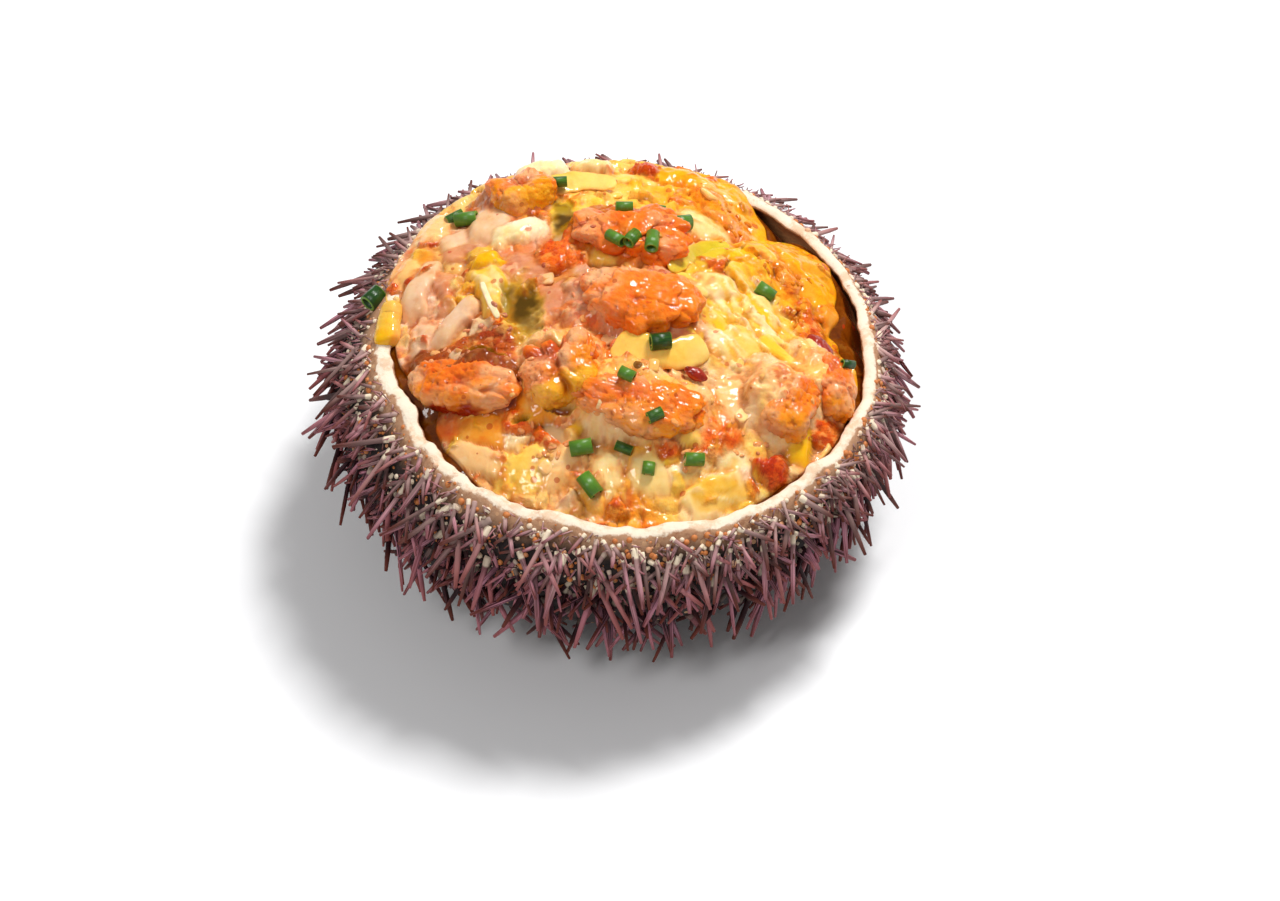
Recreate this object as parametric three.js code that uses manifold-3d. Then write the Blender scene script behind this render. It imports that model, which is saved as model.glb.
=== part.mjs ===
// A baked sea urchin: its spiny shell, cut open at the top, heaped with a creamy baked filling,
// lobes of roe and cut chives. Millimetres, +Z up, origin at the middle of the flat foot.
import * as THREE from 'three';
import { mergeVertices } from 'three/addons/utils/BufferGeometryUtils.js';
import Module from 'manifold-3d';

const wasm = await Module();
wasm.setup();

// Shell: a squat spheroid on a small flat foot, cut open above its widest line.
const SHELL_RADIUS = 36;
const SHELL_HALF_HEIGHT = 20;
const FOOT_DEPTH = 0.8;
const WALL = 1.3;
const RIM_HEIGHT = 28;
const RIM_LEAN = -0.06;
const RIM_CHIPS = [
  { waves: 7, size: 0.22, shift: 1 },
  { waves: 13, size: 0.14, shift: 0 },
  { waves: 19, size: 0.09, shift: 2 },
];
const SHELL_SEGMENTS = 40;
const OUTER_STEPS = 8;
const INNER_STEPS = 8;

// Spines: few-sided cones, combed downward, none lower than the foot.
const SPINE_COUNT = 208;
const SPINE_SIDES = 5;
const SPINE_LENGTH = [5.5, 9.5];
const SPINE_BASE_RADIUS = 0.6;
const SPINE_SINK = 0.8;
const SPINE_LOWEST_BASE = 5;
const SPINE_BELOW_RIM = 1.6;
const SPINE_OUTWARD = 0.34;
const SPINE_DROOP = 1.1;
const SPINE_STRAY = 0.6;
const SPINE_SHIFT = 0.3;
const FLOOR_CLEARANCE = 0.4;
const GOLDEN_ANGLE = Math.PI * (3 - Math.sqrt(5));

// Filling: solid to the bottom of the shell, domed above the rim, spilling over it at the back left.
const FIT_GAP = 0.4;
const MOUND_PEAK = 9;
const EDGE_SWAY = { mean: -0.3, rise: 1.2, riseAt: 115, dip: 0.5, dipAt: 42 };
const SPILL = { from: 0.5, full: 1.0, overhang: 0.2, aboveRim: 0.3 };
const LIP_THICKNESS = 0.4;
const LIP_RISE = 0.02;
const GAP_DEPTH = 9;
const GAPS = [
  { at: 45, spread: 6, width: 2.2 },
  { at: 8, spread: 10, width: 3.0 },
  { at: 207, spread: 11, width: 1.8 },
];
const CRAG = { height: 0.45, pitchX: 8.4, pitchY: 10.1 };
const FILLING_SEGMENTS = 40;
const TOP_STEPS = 9;

// Roe: tongues and granular lumps half sunk in the filling. Place, size, turn and bend of each.
const ROE_RISE = 0.14;
const ROE_GAP = 0.35;
const ROE_FACETS = [12, 8];
const UNEVEN = { along: { waves: 3, size: 0.10 }, across: { waves: 4, size: 0.08 } };
const ROE_LOBES = [
  { at: [1.8, -2.2], size: [15.2, 8.6, 5.8], turn: -8, bend: 0.10 },
  { at: [0.2, 10.4], size: [13.0, 8.0, 5.2], turn: -12, bend: -0.06 },
  { at: [-20.6, -11.4], size: [15.0, 6.2, 5.0], turn: -14, bend: 0.08 },
  { at: [-8.0, -11.8], size: [8.8, 8.4, 5.4], turn: 12, bend: 0 },
  { at: [2.2, -16.8], size: [14.6, 6.6, 4.6], turn: -4, bend: 0.05 },
  { at: [20.0, -13.2], size: [6.6, 8.4, 5.6], turn: -20, bend: 0 },
  { at: [25.6, -7.6], size: [5.0, 8.4, 4.6], turn: 12, bend: 0 },
  { at: [-14.0, 20.4], size: [7.4, 6.0, 5.0], turn: 24, bend: 0 },
];

// Chunks and slices of the filling that stand out of its surface, each a low rounded lump.
const CHUNK_RISE = 0.1;
const CHUNK_FACETS = [7, 5];
const CHUNKS = [
  { at: [-11.2, 27.2], size: [6.0, 4.4, 4.2], turn: 20 },
  { at: [-4.6, 28.0], size: [6.4, 4.2, 3.8], turn: -10 },
  { at: [-5.8, 22.8], size: [8.0, 4.8, 3.0], turn: 28 },
  { at: [-14.6, 13.0], size: [6.2, 4.8, 4.6], turn: 8 },
  { at: [-25.2, 16.2], size: [7.4, 4.6, 4.0], turn: 40 },
  { at: [-22.0, 11.8], size: [6.8, 5.0, 3.0], turn: 60 },
  { at: [-26.4, 6.2], size: [6.6, 5.2, 3.0], turn: 70 },
  { at: [-18.0, 4.8], size: [9.0, 4.8, 4.2], turn: -62 },
  { at: [-19.8, -4.8], size: [6.4, 4.4, 3.6], turn: 10 },
  { at: [-8.0, 7.6], size: [7.0, 5.8, 3.8], turn: 30 },
  { at: [5.6, 26.4], size: [9.4, 5.0, 3.4], turn: -14 },
  { at: [10.2, 20.8], size: [6.4, 5.0, 3.2], turn: -30 },
  { at: [9.4, 7.0], size: [7.6, 3.4, 3.0], turn: 26 },
  { at: [16.0, 11.6], size: [7.0, 4.8, 3.4], turn: -24 },
  { at: [20.2, 5.4], size: [8.6, 5.2, 3.6], turn: -58 },
  { at: [6.4, -9.4], size: [8.6, 3.6, 3.0], turn: 14 },
  { at: [14.6, -7.0], size: [7.8, 6.4, 3.2], turn: -30 },
  { at: [13.4, -15.0], size: [7.0, 5.4, 3.0], turn: -44 },
  { at: [9.0, -20.4], size: [6.6, 2.8, 2.8], turn: 8 },
  { at: [17.0, -20.2], size: [5.2, 3.8, 3.6], turn: 36 },
  { at: [10.8, -25.0], size: [8.0, 3.8, 3.0], turn: 16 },
  { at: [-13.4, -22.6], size: [6.2, 4.4, 3.6], turn: -22 },
  { at: [-19.6, -17.6], size: [8.4, 3.4, 3.4], turn: -38 },
  { at: [-15.6, -1.4], size: [4.6, 3.6, 2.6], turn: 0 },
];

// Chives: short cut tubes lying or standing on the filling. Place and turn of each.
const CHIVE = { radius: 1.3, bore: 0.75, length: 2.9, sides: 6, sink: 0.28 };
const CHIVES = [
  { at: [-9.5, 24.6], turn: 5 },
  { at: [-21.4, 17.6], turn: -10 },
  { at: [7.6, 16.2], turn: 30 },
  { at: [3.0, 19.4], turn: 0 },
  { at: [-2.2, 18.8], turn: 5 },
  { at: [18.4, 8.6], turn: -18 },
  { at: [5.0, -6.8], turn: 10 },
  { at: [-5.6, -21.1], turn: 12 },
  { at: [-4.6, -25.0], turn: 62 },
  { at: [2.6, -23.0], turn: 80 },
  { at: [-0.4, -20.8], turn: -8 },
  { at: [13.8, -23.0], turn: 20 },
];

const SLOPE_STEP = 1.5;
const MERGE_DISTANCE = 1e-4;
const degrees = THREE.MathUtils.degToRad;
const lerp = THREE.MathUtils.lerp;
const smoothstep = THREE.MathUtils.smoothstep;
const shellCentre = SHELL_HALF_HEIGHT - FOOT_DEPTH;
const rimRadius = spheroidRadius(RIM_HEIGHT, 0);
// The leaning cut moves the middle of the opening toward +X. What lies on the filling is placed from there.
const openingX = -RIM_LEAN * (SHELL_RADIUS / SHELL_HALF_HEIGHT) ** 2 * (RIM_HEIGHT - shellCentre);

// A repeatable draw between 0 and 1 for item i, one stream for each k.
function draw(i, k) {
  const value = Math.sin(i * 12.9898 + k * 78.233) * 43758.5453;
  return value - Math.floor(value);
}

// A closed three.js geometry as a solid that can be joined and cut.
function solidOf(geometry) {
  geometry.deleteAttribute('normal');
  geometry.deleteAttribute('uv');
  const merged = mergeVertices(geometry, MERGE_DISTANCE);
  const corners = merged.index.array;
  const kept = [];
  for (let i = 0; i < corners.length; i += 3) {
    const [a, b, c] = corners.slice(i, i + 3);
    if (a !== b && b !== c && c !== a) kept.push(a, b, c);
  }
  return new wasm.Manifold(new wasm.Mesh({
    numProp: 3,
    vertProperties: new Float32Array(merged.attributes.position.array),
    triVerts: new Uint32Array(kept),
  }));
}

// The largest body of a solid, without loose scraps.
function largestBody(solid) {
  const bodies = solid.decompose();
  return bodies.reduce((best, body) => (body.volume() > best.volume() ? body : best));
}

function meshOf(name, solid, material) {
  const { vertProperties, triVerts } = solid.getMesh();
  const geometry = new THREE.BufferGeometry();
  geometry.setAttribute('position', new THREE.BufferAttribute(vertProperties, 3));
  geometry.setIndex(new THREE.BufferAttribute(triVerts, 1));
  geometry.computeVertexNormals();
  const mesh = new THREE.Mesh(geometry, material);
  mesh.name = name;
  return mesh;
}

// A lathe whose profile changes with the angle: profile(angle) gives [radius, height] pairs
// from the axis at the bottom, round the outside, to the axis at the top.
function lathe(profile, segments) {
  const first = profile(0).map(([r, z]) => new THREE.Vector2(r, z));
  const geometry = new THREE.LatheGeometry(first, segments);
  const place = geometry.attributes.position;
  for (let i = 0; i <= segments; i += 1) {
    const angle = ((i % segments) / segments) * 2 * Math.PI;
    profile(angle).forEach(([r, z], j) => {
      place.setXYZ(i * first.length + j, r * Math.cos(angle), r * Math.sin(angle), z);
    });
  }
  return solidOf(geometry);
}

// Height of the cut edge: a leaning plane with small chips.
function rimHeight(angle) {
  let height = RIM_HEIGHT + RIM_LEAN * rimRadius * Math.cos(angle);
  for (const { waves, size, shift } of RIM_CHIPS) height += size * Math.sin(waves * angle + shift);
  return height;
}

// A spheroid `inset` millimetres inside the shell's outer face.
function spheroidRadius(z, inset) {
  const rise = (z - shellCentre) / (SHELL_HALF_HEIGHT - inset);
  return (SHELL_RADIUS - inset) * Math.sqrt(Math.max(0, 1 - rise * rise));
}

function spheroidAngle(z, inset) {
  return Math.asin(THREE.MathUtils.clamp((z - shellCentre) / (SHELL_HALF_HEIGHT - inset), -1, 1));
}

function spheroidPoint(latitude, inset) {
  return [
    (SHELL_RADIUS - inset) * Math.cos(latitude),
    shellCentre + (SHELL_HALF_HEIGHT - inset) * Math.sin(latitude),
  ];
}

// The bare shell; `grow` thickens it on every side for the clearance of what lies in it.
function shellProfile(angle, grow) {
  const top = rimHeight(angle) + grow;
  const inset = WALL + grow;
  const foot = spheroidAngle(-grow, -grow);
  const points = [[0, -grow]];
  for (let i = 0; i <= OUTER_STEPS; i += 1) {
    points.push(spheroidPoint(lerp(foot, spheroidAngle(top, -grow), i / OUTER_STEPS), -grow));
  }
  for (let i = 0; i <= INNER_STEPS; i += 1) {
    points.push(spheroidPoint(lerp(spheroidAngle(top, inset), -Math.PI / 2, i / INNER_STEPS), inset));
  }
  points[points.length - 1][0] = 0;
  return points;
}

function shellSolid(grow) {
  return lathe((angle) => shellProfile(angle, grow), SHELL_SEGMENTS);
}

// One spine: where it stands on the shell and which way it points.
function spineSolid(i) {
  const angle = i * GOLDEN_ANGLE + SPINE_SHIFT * (draw(i, 1) - 0.5);
  const share = (i + 0.5) / SPINE_COUNT;
  const z = lerp(rimHeight(angle) - SPINE_BELOW_RIM, SPINE_LOWEST_BASE, share);
  const latitude = spheroidAngle(z, 0);
  const radius = spheroidRadius(z, 0);
  const outward = new THREE.Vector3(Math.cos(angle), Math.sin(angle), 0);
  const normal = outward.clone().multiplyScalar(SHELL_HALF_HEIGHT * Math.cos(latitude))
    .setZ(SHELL_RADIUS * Math.sin(latitude)).normalize();
  const around = new THREE.Vector3(-outward.y, outward.x, 0);
  const down = new THREE.Vector3().crossVectors(around, normal);
  const length = lerp(SPINE_LENGTH[0], SPINE_LENGTH[1], draw(i, 2));
  const direction = normal.clone().multiplyScalar(SPINE_OUTWARD)
    .addScaledVector(down, SPINE_DROOP + SPINE_STRAY * (draw(i, 3) - 0.5))
    .addScaledVector(around, 2 * SPINE_STRAY * (draw(i, 4) - 0.5))
    .normalize();
  const lowest = (FLOOR_CLEARANCE + SPINE_BASE_RADIUS - z) / length;
  if (direction.z < lowest) {
    const level = Math.hypot(direction.x, direction.y);
    const keep = Math.sqrt(1 - lowest * lowest) / level;
    direction.set(direction.x * keep, direction.y * keep, lowest);
  }
  const geometry = new THREE.ConeGeometry(SPINE_BASE_RADIUS, length + SPINE_SINK, SPINE_SIDES, 1);
  geometry.translate(0, (length + SPINE_SINK) / 2 - SPINE_SINK, 0);
  geometry.applyQuaternion(new THREE.Quaternion().setFromUnitVectors(new THREE.Vector3(0, 1, 0), direction));
  geometry.translate(radius * outward.x, radius * outward.y, z);
  return solidOf(geometry);
}

function spinyShell() {
  let solid = shellSolid(0);
  for (let i = 0; i < SPINE_COUNT; i += 1) solid = solid.add(spineSolid(i));
  return largestBody(solid);
}

// Level of the filling's edge above the rim.
function edgeLevel(angle) {
  const { mean, rise, riseAt, dip, dipAt } = EDGE_SWAY;
  const sway = rise * Math.cos(angle - degrees(riseAt)) - dip * Math.cos(2 * (angle - degrees(dipAt)));
  return mean + sway;
}

// Width of the dark gap between the filling and the shell.
function gapWidth(angle) {
  let width = 0;
  for (const gap of GAPS) {
    const away = Math.atan2(Math.sin(angle - degrees(gap.at)), Math.cos(angle - degrees(gap.at)));
    width += gap.width * Math.exp(-((away / degrees(gap.spread)) ** 2));
  }
  return width;
}

function spillShare(angle) {
  return smoothstep(edgeLevel(angle), SPILL.from, SPILL.full);
}

// Radius of the filling's edge: inside the wall, or past the rim where it spills over.
function edgeRadius(angle) {
  const rim = rimHeight(angle);
  const inside = spheroidRadius(rim, WALL + FIT_GAP) - gapWidth(angle);
  return lerp(inside, spheroidRadius(rim, 0) + SPILL.overhang, spillShare(angle));
}

// Height of the filling's top over a point of the plan.
function moundHeight(x, y) {
  const angle = Math.atan2(y, x);
  const share = Math.min(1, (Math.hypot(x, y) / edgeRadius(angle)) ** 2);
  const crag = Math.sin((2 * Math.PI * x) / CRAG.pitchX) * Math.sin((2 * Math.PI * y) / CRAG.pitchY);
  const edge = rimHeight(angle) + edgeLevel(angle);
  return lerp(RIM_HEIGHT + MOUND_PEAK + CRAG.height * crag, edge, share);
}

function fillingProfile(angle, lift) {
  const inset = WALL + FIT_GAP;
  const rim = rimHeight(angle);
  const edge = edgeLevel(angle);
  const neck = rim + Math.min(SPILL.aboveRim, edge - LIP_THICKNESS);
  const points = [];
  for (let i = 0; i <= INNER_STEPS; i += 1) {
    const top = spheroidAngle(i < INNER_STEPS ? rim : neck, inset);
    const [r, z] = spheroidPoint(lerp(-Math.PI / 2, top, i / INNER_STEPS), inset);
    points.push([r - gapWidth(angle) * smoothstep(z, rim - GAP_DEPTH, rim), z]);
  }
  points[0][0] = 0;
  points.push([edgeRadius(angle), neck + LIP_RISE]);
  for (let i = 0; i <= TOP_STEPS; i += 1) {
    const r = edgeRadius(angle) * Math.sqrt(1 - i / TOP_STEPS);
    points.push([r, moundHeight(r * Math.cos(angle), r * Math.sin(angle)) + lift]);
  }
  return points;
}

function coreSolid(lift) {
  return lathe((angle) => fillingProfile(angle, lift), FILLING_SEGMENTS);
}

// Lays a shape, made about its own origin with +Z up, on the mound.
function layOnMound(geometry, [fromMiddle, y], turn, height) {
  const x = openingX + fromMiddle;
  const slopeX = (moundHeight(x + SLOPE_STEP, y) - moundHeight(x - SLOPE_STEP, y)) / (2 * SLOPE_STEP);
  const slopeY = (moundHeight(x, y + SLOPE_STEP) - moundHeight(x, y - SLOPE_STEP)) / (2 * SLOPE_STEP);
  const normal = new THREE.Vector3(-slopeX, -slopeY, 1).normalize();
  geometry.rotateZ(degrees(turn));
  geometry.applyQuaternion(new THREE.Quaternion().setFromUnitVectors(new THREE.Vector3(0, 0, 1), normal));
  geometry.translate(x + normal.x * height, y + normal.y * height, moundHeight(x, y) + normal.z * height);
  return solidOf(geometry);
}

// A rounded lump, a little uneven and bent sideways; `grow` enlarges it on every side.
function lumpSolid({ at, size, turn, bend = 0 }, rise, facets, grow) {
  const geometry = new THREE.SphereGeometry(1, ...facets);
  const place = geometry.attributes.position;
  const [length, width, height] = size.map((side) => side / 2 + grow);
  const { along, across } = UNEVEN;
  for (let i = 0; i < place.count; i += 1) {
    const [x, y, z] = [place.getX(i), place.getY(i), place.getZ(i)];
    const swell = 1 + along.size * Math.sin(along.waves * x + at[0])
      + across.size * Math.sin(across.waves * (y + z / 2) + at[1]);
    place.setXYZ(i, x * length * swell, y * width * swell + bend * length * x * x, z * height * swell);
  }
  return layOnMound(geometry, at, turn, size[2] * rise);
}

function roeSolid(lobe, grow) {
  return lumpSolid(lobe, ROE_RISE, ROE_FACETS, grow);
}

function chunkSolid(chunk) {
  return lumpSolid(chunk, CHUNK_RISE, CHUNK_FACETS, 0);
}

// A cut chive: a short six-sided tube lying on its side.
function chiveSolid({ at, turn }) {
  const ring = new THREE.Shape().absarc(0, 0, CHIVE.radius, 0, 2 * Math.PI);
  ring.holes.push(new THREE.Path().absarc(0, 0, CHIVE.bore, 0, 2 * Math.PI));
  const geometry = new THREE.ExtrudeGeometry(
    ring, { depth: CHIVE.length, bevelEnabled: false, curveSegments: CHIVE.sides / 2 });
  geometry.translate(0, 0, -CHIVE.length / 2);
  geometry.rotateY(Math.PI / 2);
  return layOnMound(geometry, at, turn, CHIVE.radius * (1 - CHIVE.sink));
}

function touches(solid, others) {
  return others.some((other) => solid.intersect(other).volume() > 0);
}

// The filling: its core with every chunk and chive that stays clear of the roe fused on.
function fillingSolid(shellRoom, roeRooms) {
  let solid = coreSolid(0);
  const pieces = CHUNKS.map(chunkSolid).concat(CHIVES.map(chiveSolid));
  for (const piece of pieces) {
    if (!touches(piece, roeRooms)) solid = solid.add(piece.subtract(shellRoom));
  }
  return largestBody(solid);
}

const shellMaterial = new THREE.MeshStandardMaterial({ color: 0x6e4a5a, roughness: 0.7, metalness: 0 });
const fillingMaterial = new THREE.MeshStandardMaterial({ color: 0xe9b06a, roughness: 0.35, metalness: 0 });
const roeMaterial = new THREE.MeshStandardMaterial({ color: 0xdf7a2f, roughness: 0.3, metalness: 0 });

const group = new THREE.Group();
group.name = 'baked_sea_urchin';
group.add(meshOf('shell', spinyShell(), shellMaterial));

const shellRoom = shellSolid(FIT_GAP);
const liftedCore = coreSolid(ROE_GAP);
const roeRooms = [];
ROE_LOBES.forEach((lobe, i) => {
  const clear = roeSolid(lobe, 0).subtract(liftedCore).subtract(shellRoom);
  const free = roeRooms.reduce((solid, room) => solid.subtract(room), clear);
  roeRooms.push(roeSolid(lobe, ROE_GAP));
  group.add(meshOf(`roe_${i + 1}`, largestBody(free), roeMaterial.clone()));
});
group.add(meshOf('filling', fillingSolid(shellRoom, roeRooms), fillingMaterial));

export default group;
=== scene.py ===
import math
from collections import namedtuple
from itertools import product

import bpy
import numpy as np
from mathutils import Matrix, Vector


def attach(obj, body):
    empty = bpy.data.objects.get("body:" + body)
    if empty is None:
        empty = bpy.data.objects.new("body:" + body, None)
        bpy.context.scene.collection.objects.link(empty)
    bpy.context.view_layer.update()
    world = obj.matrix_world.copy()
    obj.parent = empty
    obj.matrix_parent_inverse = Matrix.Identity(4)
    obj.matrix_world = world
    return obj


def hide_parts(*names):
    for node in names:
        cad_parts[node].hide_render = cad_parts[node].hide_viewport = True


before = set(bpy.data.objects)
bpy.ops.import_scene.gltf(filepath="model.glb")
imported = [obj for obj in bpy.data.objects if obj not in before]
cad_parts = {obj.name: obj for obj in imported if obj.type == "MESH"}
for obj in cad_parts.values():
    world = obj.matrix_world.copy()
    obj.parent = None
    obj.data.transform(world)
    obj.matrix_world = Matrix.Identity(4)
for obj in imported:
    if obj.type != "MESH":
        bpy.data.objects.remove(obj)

bl_info = {
    "name": "Baked Sea Urchin",
    "version": (1, 0, 0),
    "blender": (4, 5, 0),
    "location": "View3D > Sidebar > Urchin",
    "description": "Dresses a baked sea urchin: spiny shell, creamy filling, roe and chives",
    "category": "Object",
}

MM = 0.001
BODY = "root"
GOLDEN_ANGLE = math.pi * (3 - math.sqrt(5))
RAY_START = 20.0
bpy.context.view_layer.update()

# The shell's cut edge and the filling's edge, in millimetres and degrees, as the solids have them.
# Chips are waves round the edge with a size and a shift. Gaps have an angle, a spread and a size.
RIM_CHIPS = ((7, 0.22, 1.0), (13, 0.14, 0.0), (19, 0.09, 2.0))
EDGE_MEAN = -0.3
EDGE_RISE, EDGE_RISE_AT = 1.2, math.radians(115)
EDGE_DIP, EDGE_DIP_AT = 0.5, math.radians(42)
SPILL_FROM, SPILL_FULL, SPILL_OVERHANG = 0.1, 0.6, 0.25
FIT_GAP = 0.4
GAP_DEPTH = 9.0
GAPS = ((45, 6, 2.2), (8, 10, 3.0), (207, 11, 1.8))
SLOPE_STEP = 1.5

# Where the sauce swells toward the rim, as the gaps are given, and the waves of the gaps' uneven edges.
EDGE_BULGES = ((28, 7, 0.9), (66, 20, 0.6))
GAP_SCALLOPS = ((17, 0.22, 1.0), (41, 0.18, 2.0))

# Sets of spines: count, first draw, highest below the rim, lowest above the floor, lengths from and to,
# and how far they stand out, droop and stray. The main set is the solids' own.
MAIN_SPINES = dict(count=208, first=0, below_rim=1.6, lowest=5, outward=0.34, droop=1.1, stray=0.6)
SPINES_BETWEEN = dict(
    count=520, first=1000, below_rim=1.0, lowest=6, reach=(4.5, 9.0), outward=0.38, droop=0.95, stray=0.95)
SHORT_SPINES = dict(
    count=1150, first=3000, below_rim=0.5, lowest=18, reach=(1.8, 4.6), outward=0.5, droop=0.9, stray=1.1)
FINE_SPINES = dict(
    count=1500, first=6000, below_rim=0.2, lowest=19, reach=(0.7, 2.0), outward=0.8, droop=0.5, stray=1.4)
BEAD_BAND = dict(
    count=1500, first=9000, below_rim=0.3, lowest=21, reach=(1.0, 1.0), outward=1.0, droop=0.0, stray=0.0)
SHORT_GIRTH, FINE_GIRTH = 0.82, 0.34
GIRTH_LEAST, GIRTH_EXTRA = 0.8, 0.5
BEAD_RADIUS = (0.16, 0.52)
SPINE_SHIFT = 0.3
SPINE_ROOT = 0.3
TIP_CLEARANCE = 1.0
PALE_BAND, COLLAR_BAND = 5.0, 6.0
# Painted shade on the low spines: a spine whose base lies below the first height darkens toward plum, fully
# at the second.
LOW_SHADE_FROM, LOW_SHADE_FULL = 18.0, 8.0

# A spine's outline: share of its length and of its widest radius. The shaft starts above the collar.
SPINE_PROFILE = ((0.0, 0.9), (0.06, 1.0), (0.12, 0.98), (0.17, 0.76), (0.6, 0.68), (0.96, 0.54), (1.0, 0.42))
SHAFT_WIDTH = SPINE_PROFILE[3][1]

# Roe lobes: place, size, turn, bend and kind, one row for each of the nodes roe_1 to roe_8.
ROE_LOBES = (
    ((1.8, -2.2), (15.2, 8.6, 5.8), -8, 0.10, "tongue"),
    ((0.2, 10.4), (13.0, 8.0, 5.2), -12, -0.06, "crumbly"),
    ((-20.6, -11.4), (15.0, 6.2, 5.0), -14, 0.08, "toasted"),
    ((-8.0, -11.8), (8.8, 8.4, 5.4), 12, 0.0, "grainy"),
    ((2.2, -16.8), (14.6, 6.6, 4.6), -4, 0.05, "creamed"),
    ((20.0, -13.2), (6.6, 8.4, 5.6), -20, 0.0, "creamed"),
    ((25.6, -7.6), (5.0, 8.4, 4.6), 12, 0.0, "creamed"),
    ((-14.0, 20.4), (7.4, 6.0, 5.0), 24, 0.0, "golden"),
)

# The kinds of lobe. Power squares the lobe. Crags to gilding are shares of lumps, smooth flank, cleft,
# smoothness, clinging sauce, char and gold. Sauce is the tint round the lobe, climb is how high it goes.
Lobe = namedtuple("Lobe", "power crags flank cleft smoothness filming charring gilding sauce climb")
LOBE_KINDS = {
    "tongue": Lobe(2.4, 0.6, 0.0, 0.0, 0.6, 0.3, 0.2, 0.1, "rose", 0.60),
    "crumbly": Lobe(2.6, 1.0, 0.0, 0.0, 0.1, 0.0, 0.4, 0.15, "toffee", 0.66),
    "golden": Lobe(3.2, 0.9, 0.8, 0.0, 0.5, 0.2, 0.4, 1.0, "rose", 0.66),
    "grainy": Lobe(3.4, 1.0, 1.0, 1.0, 0.1, 0.5, 0.45, 0.7, "peach", 0.62),
    "creamed": Lobe(2.6, 0.9, 0.3, 0.0, 0.1, 0.4, 0.35, 0.4, "peach", 0.74),
    "toasted": Lobe(2.8, 0.6, 0.2, 0.0, 0.3, 0.75, 1.0, 0.3, "clove", 0.68),
}

# How the forms of the filling behave. Corners and edge are the powers that square the outline and the edge.
Form = namedtuple("Form", "flat corners edge sleekness graininess")
FORMS = {
    "slab": Form(True, 4.5, 6, 0.9, 0.0),
    "shingle": Form(True, 4.5, 8, 0.95, 0.0),
    "lump": Form(False, 2.6, 3, 0.7, 0.1),
    "grain": Form(False, 2.6, 3, 0.3, 1.0),
}

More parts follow.
